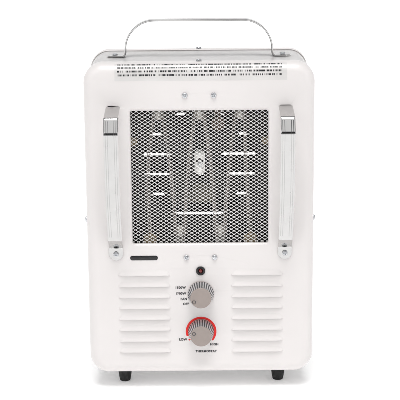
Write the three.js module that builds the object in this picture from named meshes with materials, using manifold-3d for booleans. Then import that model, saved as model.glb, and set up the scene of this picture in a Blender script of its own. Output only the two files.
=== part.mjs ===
// A portable fan-forced space heater: steel casing, expanded-metal grille, open heating coil, fan and motor,
// two chrome guards and a chrome carry handle.
// Millimetres. x runs across the front, y from the front to the back, z up from the floor.
// Every y below is measured back from the flat front face of the casing.
import * as THREE from "three";
import { mergeVertices } from "three/addons/utils/BufferGeometryUtils.js";
import Module from "manifold-3d";

const wasm = await Module();
wasm.setup();

// ---------------------------------------------------------------- driving dimensions

const GAP = 0.3; // clearance between two pieces that touch
const SHEET = 1.2; // casing sheet steel

const CASE = { width: 254, depth: 140, bottom: 19, top: 375, corner: 22 };
const FRONT_PAN = { depth: 23, fillet: 12 };
const BACK_PAN = { depth: 16, fillet: 5 };
const WRAP = { front: 14, back: 133 };

const OPENING = { width: 151.4, height: 150.4, corner: 2, collar: 5, z: 247.5 };
const GRILLE = { rim: 3.4, strand: 1.1, front: 5.3, thick: 1.6, pitchX: 12.6, pitchZ: 8 };
const LOUVRE = { half: 29, radius: 6.5, rise: 3.4, wall: 1, x: 63.5, top: 135.5, pitch: 12.9, rows: 8 };
const REAR_SLOT = { half: 69, height: 3, lowest: 149.7, pitch: 24.4, rows: 8 };

const HANDLE = { width: 16, thick: 1.8, y: 70, top: 416, leg: 83, foot: 104.5, bend: 33, screwX: 95 };
const GUARD = { x: 94.4, width: 15.5, thick: 1.6, slotZ: 327.3, screwZ: 161.5, endZ: 154, tab: 11.2 };
const FOOT = { x: 89, front: 33, back: 107, top: 8.25, bottom: 6.25, neck: 4 };

const SCREW = { head: 3.1, height: 2.1, shank: 1.7, hole: 2.1 };
const PANEL_SCREW = { x: 15.8, high: 339.8, low: 156.6 };
const RIM_SCREW = { z: 197.5, front: 17.5, back: 129.5 };

const SELECTOR_Z = 114.2;
const THERMOSTAT_Z = 69.5;
const KNOB = { base: 14.7, face: 11.7, height: 18, indicator: 2.35, indicatorAt: 8.8 };
const SHAFT = { radius: 3, front: -14, back: 12 };
const BUSH = { radius: 4.5, front: -4.6 };
const SELECTOR_REST = 209.5; // degrees counterclockwise from +x, seen from the front
const THERMOSTAT_REST = 157;
const PILOT = { z: 141, flange: 5.2, barrel: 3.9, lens: 2.1 };

const DUCT = { half: 80.5, bottom: 163, top: 331, front: 7.5, back: 56.7, wall: 1, flange: 14 };
const COIL = {
  y: 36,
  radius: 2.5,
  endX: 57,
  endZ: 177,
  topPegs: [-46, 0, 46],
  bottomPegs: [-23, 23],
  topZ: 313,
  bottomZ: 176,
  bows: [-5, 2, -2, 2, -2, -1],
};
const INSULATOR = { width: 11.4, y: 40, thick: 5, peg: 2, pegReach: 8, pastPeg: 7 };

const FAN = { z: 250, y: 72, radius: 56, hub: 9, orifice: 65.5, blades: 4, pitch: 28, restAngle: 50 };
const MOTOR = { front: 92, back: 108, half: 25, bottom: 206, top: 272, rotor: 13.2, bore: 13.8, shaft: 2.5 };
const MOTOR_COIL = { half: 14.4, bottom: 200, top: 222, front: 86, back: 114, yoke: 10 };
const BEARING = { half: 23, height: 14, reach: 6.2, boss: 6.5, strap: 1.5 };
const MOTOR_MOUNT = { half: 17, thick: 1.5, shelfZ: 322 };

const MOTOR_SHAFT = { front: 62, back: 120 };
const CUTOUT = { x: 21, z: 300, front: 46, back: 53, radius: 8 };

const TILT = { x: -45, y: 78, pinZ: 62, pin: 1.5, arm: 26, swing: 3 };
const GLAND = { x: 85, z: 47, bore: 4.2, barrel: 7.7, flange: 10.5 };

// ---------------------------------------------------------------- materials

const finish = (color, roughness, metalness) =>
  new THREE.MeshStandardMaterial({ color, roughness, metalness });

const WHITE_PAINT = finish("#e8e5e3", 0.4, 0);
const GREY_PAINT = finish("#c3c0be", 0.4, 0);
const CHROME = finish("#d8dadc", 0.12, 1);
const ZINC = finish("#b9bbbd", 0.35, 1);
const BRIGHT_MESH = finish("#e3e1dd", 0.4, 0.6);
const RUBBER = finish("#141414", 0.8, 0);
const KNOB_PLASTIC = finish("#aaa09b", 0.5, 0);
const BLACK_PLASTIC = finish("#19191a", 0.45, 0);
const RED_LENS = finish("#7c1310", 0.15, 0);
const CERAMIC = finish("#d8cdbf", 0.6, 0);
const RESISTANCE_WIRE = finish("#6d6560", 0.5, 0.9);
const ALUMINIUM = finish("#a9abad", 0.35, 1);
const CORE_STEEL = finish("#5f6164", 0.5, 0.9);
const COIL_TAPE = finish("#cdbf9a", 0.7, 0);
const PHENOLIC = finish("#3a2c22", 0.6, 0);

// ---------------------------------------------------------------- shapes and solids

const X_AXIS = new THREE.Vector3(1, 0, 0);
const Y_AXIS = new THREE.Vector3(0, 1, 0);
const Z_AXIS = new THREE.Vector3(0, 0, 1);
const BACK_TO_FRONT = new THREE.Vector3(0, -1, 0);

// Turns a flat outline drawn in one plane, and its thickness, into the object's own axes.
const PLANE = {
  xz: new THREE.Matrix4().makeBasis(X_AXIS, Z_AXIS, BACK_TO_FRONT),
  yz: new THREE.Matrix4().makeBasis(Y_AXIS, Z_AXIS, X_AXIS),
  xy: new THREE.Matrix4(),
};

const radians = THREE.MathUtils.degToRad;

function solidOf(geometry) {
  const bare = new THREE.BufferGeometry();
  bare.setAttribute("position", geometry.getAttribute("position"));
  bare.setIndex(geometry.index);
  const merged = mergeVertices(bare, 1e-4);
  const vertProperties = merged.attributes.position.array;
  const triVerts = new Uint32Array(merged.index.array);
  return new wasm.Manifold(new wasm.Mesh({ numProp: 3, vertProperties, triVerts }));
}

function geometryOf(solid) {
  const mesh = solid.getMesh();
  const geometry = new THREE.BufferGeometry();
  geometry.setAttribute("position", new THREE.BufferAttribute(mesh.vertProperties, 3));
  geometry.setIndex(new THREE.BufferAttribute(mesh.triVerts, 1));
  geometry.computeVertexNormals();
  return geometry;
}

const joined = (solids) => solids.reduce((whole, solid) => whole.add(solid));
const cut = (solid, ...cutters) => solid.subtract(joined(cutters));

function block(x0, x1, y0, y1, z0, z1) {
  const box = new THREE.BoxGeometry(x1 - x0, y1 - y0, z1 - z0);
  box.translate((x0 + x1) / 2, (y0 + y1) / 2, (z0 + z1) / 2);
  return solidOf(box);
}

function rodY(radius, x, z, y0, y1, sides = 16) {
  const rod = new THREE.CylinderGeometry(radius, radius, y1 - y0, sides);
  rod.translate(x, (y0 + y1) / 2, z);
  return solidOf(rod);
}

function rodX(radius, y, z, x0, x1, sides = 12) {
  const rod = new THREE.CylinderGeometry(radius, radius, x1 - x0, sides);
  rod.rotateZ(Math.PI / 2).translate((x0 + x1) / 2, y, z);
  return solidOf(rod);
}

function rodZ(radius, x, y, z0, z1, sides = 10) {
  const rod = new THREE.CylinderGeometry(radius, radius, z1 - z0, sides);
  rod.rotateX(Math.PI / 2).translate(x, y, (z0 + z1) / 2);
  return solidOf(rod);
}

// A profile of [radius, height] points turned round its axis; the height runs along `direction`.
function turned(profile, direction, sides = 16) {
  const points = profile.map(([radius, height]) => new THREE.Vector2(radius, height));
  const lathe = new THREE.LatheGeometry(points, sides);
  lathe.applyQuaternion(new THREE.Quaternion().setFromUnitVectors(Y_AXIS, direction));
  return lathe;
}

function roundedRectangle(width, height, corner, centreY, cornerSteps = 5) {
  const shape = new THREE.Shape();
  const [halfW, halfH] = [width / 2 - corner, height / 2 - corner];
  const corners = [[halfW, halfH], [-halfW, halfH], [-halfW, -halfH], [halfW, -halfH]];
  const outline = [];
  corners.forEach(([x, y], quarter) => {
    for (let step = 0; step <= cornerSteps; step += 1) {
      const angle = (quarter + step / cornerSteps) * (Math.PI / 2);
      outline.push(new THREE.Vector2(x + corner * Math.cos(angle), centreY + y + corner * Math.sin(angle)));
    }
  });
  shape.setFromPoints(outline);
  return shape;
}

// Extrudes an outline drawn in `plane` between two values of the third axis.
function extruded(shape, plane, from, to) {
  const geometry = new THREE.ExtrudeGeometry(shape, { depth: to - from, bevelEnabled: false });
  geometry.applyMatrix4(PLANE[plane]);
  const shift = { xz: [0, to, 0], yz: [from, 0, 0], xy: [0, 0, from] }[plane];
  geometry.translate(...shift);
  return solidOf(geometry);
}

// A rounded rectangular plug seen from the front, with one rounded end: its end face is at `face`
// and it runs `length` towards the back, or towards the front when `facesBack` is true.
function plug(width, height, corner, fillet, face, length, facesBack) {
  const shape = roundedRectangle(width - 2 * fillet, height - 2 * fillet, corner - fillet, 0);
  const bevel = { bevelEnabled: true, bevelSize: fillet, bevelThickness: fillet, bevelSegments: 4 };
  const straight = length - fillet + 1;
  const geometry = new THREE.ExtrudeGeometry(shape, { depth: straight, ...bevel });
  geometry.applyMatrix4(PLANE.xz);
  geometry.translate(0, straight + fillet, 0);
  if (facesBack) geometry.rotateZ(Math.PI);
  geometry.translate(0, face, CASE_MID_Z);
  const [near, far] = facesBack ? [face - length, face + 1] : [face - 1, face + length];
  return solidOf(geometry).intersect(block(-width, width, near, far, -height, 2 * height));
}

// Rounds the inner corners [u, v, radius] of an open line.
function roundedLine(corners, steps = 5) {
  const points = corners.map(([u, v]) => new THREE.Vector2(u, v));
  const line = [points[0]];
  for (let i = 1; i < points.length - 1; i += 1) {
    const [before, at, after] = [points[i - 1], points[i], points[i + 1]];
    const incoming = before.clone().sub(at).normalize();
    const outgoing = after.clone().sub(at).normalize();
    const halfAngle = Math.acos(THREE.MathUtils.clamp(incoming.dot(outgoing), -1, 1)) / 2;
    const radius = corners[i][2];
    const start = at.clone().addScaledVector(incoming, radius / Math.tan(halfAngle));
    const end = at.clone().addScaledVector(outgoing, radius / Math.tan(halfAngle));
    const toCentre = incoming.clone().add(outgoing).normalize();
    const centre = at.clone().addScaledVector(toCentre, radius / Math.sin(halfAngle));
    const from = start.clone().sub(centre).angle();
    let sweep = end.clone().sub(centre).angle() - from;
    if (sweep > Math.PI) sweep -= 2 * Math.PI;
    if (sweep < -Math.PI) sweep += 2 * Math.PI;
    for (let step = 0; step <= steps; step += 1) {
      const angle = from + (sweep * step) / steps;
      line.push(new THREE.Vector2(Math.cos(angle), Math.sin(angle)).multiplyScalar(radius).add(centre));
    }
  }
  line.push(points.at(-1));
  return line;
}

// The outline of a bent strap of constant thickness along an open line.
function band(line, thickness) {
  const sides = [[], []];
  line.forEach((point, i) => {
    const before = line[Math.max(i - 1, 0)];
    const after = line[Math.min(i + 1, line.length - 1)];
    const into = point.clone().sub(before).normalize();
    const out = after.clone().sub(point).normalize();
    const along = into.add(out).normalize();
    const normal = new THREE.Vector2(-along.y, along.x);
    const reference = i === 0 ? out : point.clone().sub(before).normalize();
    const mitre = thickness / 2 / Math.abs(normal.dot(new THREE.Vector2(-reference.y, reference.x)));
    sides[0].push(point.clone().addScaledVector(normal, mitre));
    sides[1].unshift(point.clone().addScaledVector(normal, -mitre));
  });
  return new THREE.Shape([...sides[0], ...sides[1]]);
}

// ---------------------------------------------------------------- the assembly

const CASE_HEIGHT = CASE.top - CASE.bottom;
const CASE_MID_Z = (CASE.top + CASE.bottom) / 2;
const INSET = SHEET + GAP; // how far the wrap lies inside the pans
const WRAP_TOP = CASE.top - INSET;
const WRAP_BOTTOM = CASE.bottom + INSET;

const heater = new THREE.Group();

function addPiece(name, shape, material) {
  const geometry = shape.isBufferGeometry ? shape : geometryOf(shape);
  const mesh = new THREE.Mesh(geometry, material);
  mesh.name = name;
  heater.add(mesh);
  return mesh;
}

// ---------------------------------------------------------------- fasteners

// A pan-head screw with the underside of its head at height 0 and its shank below.
function screwProfile(length) {
  const { head, height, shank } = SCREW;
  return [
    [0, -length],
    [shank * 0.6, -length],
    [shank, -length + 1.5],
    [shank, 0],
    [head, 0],
    [head, height * 0.5],
    [head * 0.7, height * 0.9],
    [0, height],
  ];
}

function addScrew(name, x, y, z, direction, length) {
  const screw = addPiece(name, turned(screwProfile(length), direction, 10), ZINC);
  screw.position.set(x, y, z).addScaledVector(direction, GAP);
}

// ---------------------------------------------------------------- front panel

function louvreCapsule(radius, rise) {
  const capsule = new THREE.CapsuleGeometry(radius, 2 * (LOUVRE.half - LOUVRE.radius), 2, 12, 1);
  capsule.rotateZ(Math.PI / 2).scale(1, rise / radius, 1);
  return capsule;
}

// One pressed louvre: the hood that is added and the hollow that is cut, both open downwards.
function louvre(x, z) {
  const { half, radius, rise, wall } = LOUVRE;
  const outer = solidOf(louvreCapsule(radius, rise).translate(x, 0, z));
  const inner = solidOf(louvreCapsule(radius - wall, rise - wall).translate(x, 0, z));
  const upperFront = block(x - half, x + half, -rise - 1, SHEET / 2, z, z + radius + 1);
  const upper = block(x - half, x + half, -rise - 1, rise + 1, z, z + radius + 1);
  return { hood: outer.intersect(upperFront), hollow: inner.intersect(upper) };
}

function louvres() {
  const all = [];
  for (const side of [-1, 1])
    for (let row = 0; row < LOUVRE.rows; row += 1)
      all.push(louvre(side * LOUVRE.x, LOUVRE.top - row * LOUVRE.pitch));
  return all;
}

function openingPlug(grow, y0, y1) {
  const { width, height, corner, z } = OPENING;
  const shape = roundedRectangle(width + 2 * grow, height + 2 * grow, corner + grow, z, 3);
  return extruded(shape, "xz", y0, y1);
}

function rimHoles(y, z) {
  const side = CASE.width / 2;
  const reach = INSET + SHEET + 1;
  return [
    rodZ(SCREW.hole, 0, y, CASE.top - reach, CASE.top + 1),
    rodX(SCREW.hole, y, z, -side - 1, -side + reach, 10),
    rodX(SCREW.hole, y, z, side - reach, side + 1, 10),
  ];
}

function frontHoles() {
  const hole = (radius, x, z) => rodY(radius, x, z, -1, SHEET + 1, 12);
  const holes = [
    hole(BUSH.radius + GAP, 0, SELECTOR_Z),
    hole(BUSH.radius + GAP, 0, THERMOSTAT_Z),
    hole(PILOT.barrel + GAP, 0, PILOT.z),
  ];
  for (const side of [-1, 1]) {
    const slotHalf = GUARD.tab / 2 + 0.5;
    const slotX = side * GUARD.x;
    const slot = block(slotX - slotHalf, slotX + slotHalf, -1, SHEET + 1, GUARD.slotZ - 1.3, GUARD.slotZ + 1.3);
    holes.push(slot, hole(SCREW.hole, side * GUARD.x, GUARD.screwZ));
    holes.push(hole(SCREW.hole, side * PANEL_SCREW.x, PANEL_SCREW.high));
    holes.push(hole(SCREW.hole, side * PANEL_SCREW.x, PANEL_SCREW.low));
  }
  return holes;
}

function frontPanel() {
  const { depth, fillet } = FRONT_PAN;
  const outer = plug(CASE.width, CASE_HEIGHT, CASE.corner, fillet, 0, depth, false);
  const inner = plug(CASE.width - 2 * SHEET, CASE_HEIGHT - 2 * SHEET, CASE.corner - SHEET,
    fillet - SHEET, SHEET, depth + 1, false);
  const collar = openingPlug(SHEET, SHEET / 2, OPENING.collar);
  const opening = openingPlug(0, -1, OPENING.collar + 1);
  const pressed = louvres();
  const skin = joined([cut(outer, inner), collar, ...pressed.map(({ hood }) => hood)]);
  const hollows = pressed.map(({ hollow }) => hollow);
  return cut(skin, opening, ...hollows, ...frontHoles(), ...rimHoles(RIM_SCREW.front, RIM_SCREW.z));
}

// Expanded metal: two crossing layers of slanted strands in one flat rim.
function grille() {
  const { rim, strand, front, thick, pitchX, pitchZ } = GRILLE;
  const slant = Math.atan2(pitchZ, pitchX);
  const halfSpan = (OPENING.width + OPENING.height / Math.tan(slant)) / 2;
  const count = Math.ceil(halfSpan / pitchX);
  const layer = thick * 0.45;
  const clip = openingPlug(rim / 2, front - 1, front + thick + 1);
  const rimRing = cut(openingPlug(rim, front, front + thick), openingPlug(0, front - 1, front + thick + 1));
  const strands = (turn, y0) => {
    const bars = [];
    for (let i = -count; i <= count; i += 1) {
      const bar = new THREE.BoxGeometry(2 * OPENING.width, layer, strand);
      bar.rotateY(turn).translate(i * pitchX, y0 + layer / 2, OPENING.z);
      bars.push(solidOf(bar));
    }
    return joined(bars).intersect(clip);
  };
  return joined([rimRing, strands(slant, front), strands(-slant, front + thick - layer)]);
}

// ---------------------------------------------------------------- wrap and back panel

function footPlaces() {
  const places = [];
  for (const [depthName, y] of [["front", FOOT.front], ["back", FOOT.back]])
    for (const [sideName, side] of [["left", -1], ["right", 1]])
      places.push({ name: `foot_${depthName}_${sideName}`, x: side * FOOT.x, y });
  return places;
}

function cabinetWrap() {
  const { front, back } = WRAP;
  const ring = (inset, y0, y1) =>
    extruded(roundedRectangle(CASE.width - 2 * inset, CASE_HEIGHT - 2 * inset, CASE.corner - inset, CASE_MID_Z),
      "xz", y0, y1);
  const tube = cut(ring(INSET, front, back), ring(INSET + SHEET, front - 1, back + 1));
  const handleHoles = [-1, 1].map((side) =>
    rodZ(SCREW.hole, side * HANDLE.screwX, HANDLE.y, WRAP_TOP - SHEET - 1, WRAP_TOP + 1));
  const footHoles = footPlaces().map(({ x, y }) =>
    rodZ(FOOT.neck + GAP, x, y, WRAP_BOTTOM - 1, WRAP_BOTTOM + SHEET + 1, 12));
  const rims = [RIM_SCREW.front, RIM_SCREW.back].flatMap((y) => rimHoles(y, RIM_SCREW.z));
  return cut(tube, ...handleHoles, ...footHoles, ...rims);
}

function rearSlots() {
  const { half, height, lowest, pitch, rows } = REAR_SLOT;
  const slots = [];
  for (let row = 0; row < rows; row += 1) {
    const shape = roundedRectangle(2 * half, height, height / 2 - 0.01, lowest + row * pitch, 2);
    slots.push(extruded(shape, "xz", CASE.depth - SHEET - 1, CASE.depth + 1));
  }
  return slots;
}

function backPanel() {
  const { depth, fillet } = BACK_PAN;
  const outer = plug(CASE.width, CASE_HEIGHT, CASE.corner, fillet, CASE.depth, depth, true);
  const inner = plug(CASE.width - 2 * SHEET, CASE_HEIGHT - 2 * SHEET, CASE.corner - SHEET,
    fillet - SHEET, CASE.depth - SHEET, depth + 1, true);
  const glandHole = rodY(GLAND.barrel + GAP, GLAND.x, GLAND.z, CASE.depth - SHEET - 1, CASE.depth + 1);
  return cut(outer, inner, glandHole, ...rearSlots(), ...rimHoles(RIM_SCREW.back, RIM_SCREW.z));
}

// ---------------------------------------------------------------- handle, guards and feet

function carryHandle() {
  const { width, thick, y, top, leg, foot, bend, screwX } = HANDLE;
  const footZ = WRAP_TOP + GAP + thick / 2;
  const topZ = top - thick / 2;
  const half = [[leg, topZ, bend], [leg, footZ, 4], [foot, footZ, 0]];
  const mirrored = half.map(([x, z, radius]) => [-x, z, radius]).reverse();
  const strap = extruded(band(roundedLine([...mirrored, ...half]), thick), "xz", y - width / 2, y + width / 2);
  const holes = [-1, 1].map((side) => rodZ(SCREW.hole, side * screwX, y, WRAP_TOP, footZ + thick));
  return cut(strap, ...holes);
}

// A guard strap seen from the side, as [y, z, bend radius] corners from the panel slot down to its foot.
function guardCorners() {
  const faceY = -GAP - GUARD.thick / 2;
  return [
    [faceY, GUARD.slotZ, 0],
    [-43, GUARD.slotZ - 5, 4],
    [-52, GUARD.slotZ - 21, 9],
    [-41, GUARD.slotZ - 92, 110],
    [-14, 180.5, 4],
    [faceY, 168.4, 3],
    [faceY, GUARD.endZ, 0],
  ];
}

function guard(side) {
  const { x, width, thick, slotZ, screwZ, endZ, tab } = GUARD;
  const strap = extruded(band(roundedLine(guardCorners()), thick), "yz", -width / 2, width / 2);
  const tongue = block(-tab / 2, tab / 2, -3, 7, slotZ - thick / 2, slotZ + thick / 2);
  const outlineHeight = slotZ + 10 - endZ;
  const outline = roundedRectangle(width, outlineHeight, width / 2 - 0.01, endZ + outlineHeight / 2, 6);
  const roundedEnd = extruded(outline, "xz", -60, 8);
  const screwHole = rodY(SCREW.hole, 0, screwZ, -4, 1, 12);
  const whole = cut(joined([strap, tongue]).intersect(roundedEnd), screwHole);
  return geometryOf(whole).translate(side * x, 0, 0);
}

// A push-in rubber foot with its flat sole at height 0.
function footProfile() {
  const { top, bottom, neck } = FOOT;
  const seat = WRAP_BOTTOM - GAP;
  const inside = WRAP_BOTTOM + SHEET + GAP;
  return [
    [0, 0],
    [bottom - 1, 0],
    [bottom - 0.3, 0.5],
    [bottom, 1.5],
    [top, seat],
    [neck, seat],
    [neck, inside],
    [neck + 1.4, inside],
    [neck - 0.8, inside + 3],
    [0, inside + 3],
  ];
}

// ---------------------------------------------------------------- controls

// A round tapered knob, hollow behind for the nut, with a raised ring dot at `angle`.
function knob(angle) {
  const { base, face, height, indicator, indicatorAt } = KNOB;
  const foot = 0.8; // clear of the panel
  const top = foot + height;
  const profile = [
    [SHAFT.radius + GAP, 6.2],
    [SHAFT.radius + GAP, -SHAFT.front + GAP],
    [0, -SHAFT.front + GAP],
    [0, top],
    [face - 0.8, top],
    [face, top - 0.8],
    [base - 1.6, foot + 3.4],
    [base, foot + 2.2],
    [base, foot],
    [base - 2.6, foot],
    [base - 3.6, 6.2],
  ].reverse();
  const closed = [...profile, profile[0]];
  const body = solidOf(turned(closed, BACK_TO_FRONT, 24));
  const place = new THREE.Vector2(Math.cos(radians(angle)), Math.sin(radians(angle))).multiplyScalar(indicatorAt);
  return body.add(rodY(indicator, place.x, place.y, -top - 0.7, -top + 0.5, 10));
}

const dShaft = () => cut(
  rodY(SHAFT.radius, 0, 0, SHAFT.front, SHAFT.back, 14),
  block(-4, 4, SHAFT.front - 1, -6, SHAFT.radius * 0.55, 4),
);

// A control body behind the panel with a threaded bush through it and spade tabs at the back.
function controlBody(halfWidth, halfHeight, depth, tabXs) {
  const front = SHEET + GAP;
  const back = Math.max(front + depth, SHAFT.back + 3);
  const body = block(-halfWidth, halfWidth, front, back, -halfHeight, halfHeight);
  const bush = rodY(BUSH.radius, 0, 0, BUSH.front, front + 1, 14);
  const tabs = tabXs.flatMap((x) => [-1, 1].map((row) =>
    block(x - 0.4, x + 0.4, back - 1, back + 8, row * halfHeight * 0.55 - 3, row * halfHeight * 0.55 + 3)));
  const bore = rodY(SHAFT.radius + GAP, 0, 0, BUSH.front - 1, SHAFT.back + GAP, 14);
  return cut(joined([body, bush, ...tabs]), bore);
}

function hexNut() {
  const nut = rodY(8, 0, 0, -GAP - 2.5, -GAP, 6);
  return cut(nut, rodY(BUSH.radius + GAP, 0, 0, -4, 1, 14));
}

function pilotBezel() {
  const { flange, barrel, lens } = PILOT;
  const bore = lens + GAP;
  const profile = [[bore, -13], [barrel, -13], [barrel, GAP], [flange, GAP], [flange, 1.2], [flange - 1, 2],
    [bore, 2], [bore, -13]];
  return turned(profile, BACK_TO_FRONT, 14);
}

function pilotLens() {
  const { lens } = PILOT;
  const profile = [[0, -9], [lens, -9], [lens, 1.4], [lens * 0.8, 2.3], [lens * 0.4, 2.8], [0, 2.9]];
  return turned(profile, BACK_TO_FRONT, 12);
}

function addControl(name, z, knobAngle, body) {
  const parts = [
    [`${name}_knob`, knob(knobAngle), KNOB_PLASTIC],
    [`${name}_shaft`, dShaft(), ZINC],
    [`${name}_nut`, hexNut(), ZINC],
    [`${name}_body`, body, PHENOLIC],
  ];
  parts.forEach(([pieceName, solid, material]) => {
    addPiece(pieceName, solid, material).position.z = z;
  });
}

// ---------------------------------------------------------------- heating element

// A square duct round the coil, with a screwing flange above and below its front edge.
function elementDuct() {
  const { half, bottom, top, front, back, wall, flange } = DUCT;
  const outside = block(-half, half, front, back, bottom, top);
  const inside = block(-half + wall, half - wall, front - 1, back + 1, bottom + wall, top - wall);
  const flanges = [
    block(-40, 40, front, front + wall, top - wall, top + flange),
    block(-40, 40, front, front + wall, bottom - flange, bottom + wall),
  ];
  const holes = [PANEL_SCREW.high, PANEL_SCREW.low].flatMap((z) =>
    [-1, 1].map((side) => rodY(SCREW.hole, side * PANEL_SCREW.x, z, front - 1, front + wall + 1, 10)));
  return cut(joined([outside, ...flanges]), inside, ...holes);
}

// A path through given points, with a ring of the swept tube at each of them.
class PointPath extends THREE.Curve {
  constructor(points) {
    super();
    this.points = points;
  }
  getPoint(t, target = new THREE.Vector3()) {
    const at = t * (this.points.length - 1);
    const before = Math.min(Math.floor(at), this.points.length - 2);
    return target.lerpVectors(this.points[before], this.points[before + 1], at - before);
  }
  getPointAt(u, target) {
    return this.getPoint(u, target);
  }
  getTangentAt(u, target) {
    return this.getTangent(u, target);
  }
}

// Six strands zigzag between the ceramic hooks; the helix is drawn as its envelope, a plain round cord.
function coilPath() {
  const { y, radius, endX, endZ, topPegs, bottomPegs, topZ, bottomZ, bows } = COIL;
  const loop = INSULATOR.peg + GAP + radius + 0.1;
  const turns = topPegs.flatMap((x, i) => {
    const over = { x, z: topZ, from: Math.PI, sweep: -Math.PI };
    const under = { x: bottomPegs[i], z: bottomZ, from: Math.PI, sweep: Math.PI };
    return i < bottomPegs.length ? [over, under] : [over];
  });
  const points = [new THREE.Vector3(-endX, y, endZ)];
  const addStrand = (end, bow) => {
    const start = points.at(-1).clone();
    for (let step = 1; step < 4; step += 1) {
      const point = start.clone().lerp(end, step / 4);
      point.x += bow * Math.sin((Math.PI * step) / 4);
      points.push(point);
    }
  };
  turns.forEach(({ x, z, from, sweep }, i) => {
    const arc = [];
    for (let step = 0; step <= 6; step += 1) {
      const angle = from + (sweep * step) / 6;
      arc.push(new THREE.Vector3(x + loop * Math.cos(angle), y, z + loop * Math.sin(angle)));
    }
    addStrand(arc[0], bows[i]);
    points.push(...arc);
  });
  const last = new THREE.Vector3(endX, y, endZ);
  addStrand(last, bows.at(-1));
  points.push(last);
  return new PointPath(points);
}

function heatingCoil() {
  const path = coilPath();
  const section = new THREE.Shape();
  section.absarc(0, 0, COIL.radius, 0, 2 * Math.PI);
  const steps = path.points.length - 1;
  return solidOf(new THREE.ExtrudeGeometry(section, { steps, extrudePath: path, curveSegments: 4 }));
}

// A ceramic tab fixed to the duct at `rootZ`, with a hook peg in front at `pegZ`.
function insulator(rootZ, pegZ) {
  const { width, y, thick, peg, pegReach, pastPeg } = INSULATOR;
  const away = Math.sign(pegZ - rootZ);
  const tipZ = pegZ + away * pastPeg;
  const [low, high] = [Math.min(rootZ, tipZ), Math.max(rootZ, tipZ)];
  const tall = roundedRectangle(width, high - low + width, width / 2 - 0.01, (low + high - away * width) / 2, 5);
  const tab = extruded(tall, "xz", y, y + thick).intersect(block(-width, width, 0, 60, low, high));
  const pegRod = rodY(peg, 0, pegZ, y - pegReach, y + 1, 10);
  const lip = block(-peg, peg, y - pegReach, y - pegReach + 1, Math.min(pegZ, pegZ - away * 3.4),
    Math.max(pegZ, pegZ - away * 3.4));
  return joined([tab, pegRod, lip]);
}

function coilTerminal(side) {
  const x = side * COIL.endX;
  const base = block(x - 7, x + 7, COIL.y - 5, COIL.y + 5, DUCT.bottom + DUCT.wall + GAP, COIL.endZ - 4);
  const stud = rodZ(2.2, x, COIL.y, COIL.endZ - 5, COIL.endZ - GAP, 8);
  return base.add(stud);
}

function thermalCutout() {
  const { x, z, front, back, radius } = CUTOUT;
  const disc = rodY(radius, x, z, front, back, 16);
  const stay = block(x - 4, x + 4, back - 2, back - 0.8, z, DUCT.top - DUCT.wall - GAP);
  return disc.add(stay);
}

// ---------------------------------------------------------------- fan and motor

function fanShroud() {
  const { half, bottom, top, back } = DUCT;
  const y0 = back + GAP;
  const plate = block(-half, half, y0, y0 + SHEET, bottom, top);
  const collar = rodY(FAN.orifice + SHEET, 0, FAN.z, y0, y0 + 16, 32);
  return cut(plate.add(collar), rodY(FAN.orifice, 0, FAN.z, y0 - 1, y0 + 17, 32));
}

function fanBlade(angle) {
  const outline = new THREE.Shape();
  outline.moveTo(4, -6);
  outline.bezierCurveTo(22, -12, 34, -26, 62, -20);
  outline.lineTo(68, 14);
  outline.bezierCurveTo(44, 20, 24, 12, 4, 6);
  const blade = new THREE.ExtrudeGeometry(outline, { depth: 1, bevelEnabled: false, curveSegments: 5 });
  blade.translate(0, 0, -0.5).applyMatrix4(PLANE.xz);
  blade.rotateX(radians(FAN.pitch)).rotateY(-radians(angle)).translate(0, FAN.y, FAN.z);
  return solidOf(blade);
}

function fan() {
  const hub = rodY(FAN.hub, 0, FAN.z, FAN.y - 7, FAN.y + 7, 16);
  const blades = [];
  for (let i = 0; i < FAN.blades; i += 1) blades.push(fanBlade(FAN.restAngle + (360 / FAN.blades) * i));
  const swept = rodY(FAN.radius, 0, FAN.z, FAN.y - 20, FAN.y + 20, 48);
  const bore = rodY(MOTOR.shaft + GAP, 0, FAN.z, FAN.y - 20, FAN.y + 20, 12);
  return cut(joined([hub, ...blades]).intersect(swept), bore);
}

function stator() {
  const { front, back, half, bottom, top, bore } = MOTOR;
  const core = block(-half, half, front, back, bottom, top);
  const yokeTop = bottom + MOTOR_COIL.yoke;
  const window = block(-15, 15, front - 1, back + 1, yokeTop, FAN.z - bore - 3);
  return cut(core, rodY(bore, 0, FAN.z, front - 1, back + 1, 24), window);
}

function windingCoil() {
  const { half, bottom, top, front, back, yoke } = MOTOR_COIL;
  const outside = block(-half, half, front, back, bottom, top);
  const yokeRoom = 0.4;
  const inside = block(-half - 1, half + 1, MOTOR.front - yokeRoom, MOTOR.back + yokeRoom,
    MOTOR.bottom - yokeRoom, MOTOR.bottom + yoke + yokeRoom);
  return cut(outside, inside);
}

// A U-shaped strap that stands off one face of the core and carries a sleeve bearing.
function bearing(coreFace, outward) {
  const { half, height, reach, boss, strap } = BEARING;
  const range = (a, b) => [coreFace + outward * a, coreFace + outward * b].sort((p, q) => p - q);
  const [z0, z1] = [FAN.z - height / 2, FAN.z + height / 2];
  const plate = block(-half, half, ...range(reach, reach + strap), z0, z1);
  const legs = [-1, 1].map((side) => {
    const [x0, x1] = side < 0 ? [-half, -half + 5] : [half - 5, half];
    return block(x0, x1, ...range(GAP, reach + 0.5), z0, z1);
  });
  const sleeve = rodY(boss, 0, FAN.z, ...range(reach - 3, reach + strap + 2), 16);
  const bore = rodY(MOTOR.shaft + GAP, 0, FAN.z, ...range(0, reach + strap + 3), 12);
  return cut(joined([plate, ...legs, sleeve]), bore);
}

function rotor() {
  const { front, back, shaft } = MOTOR;
  const core = rodY(MOTOR.rotor, 0, FAN.z, front, back, 24);
  return cut(core, rodY(shaft + GAP, 0, FAN.z, front - 1, back + 1, 12));
}

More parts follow.
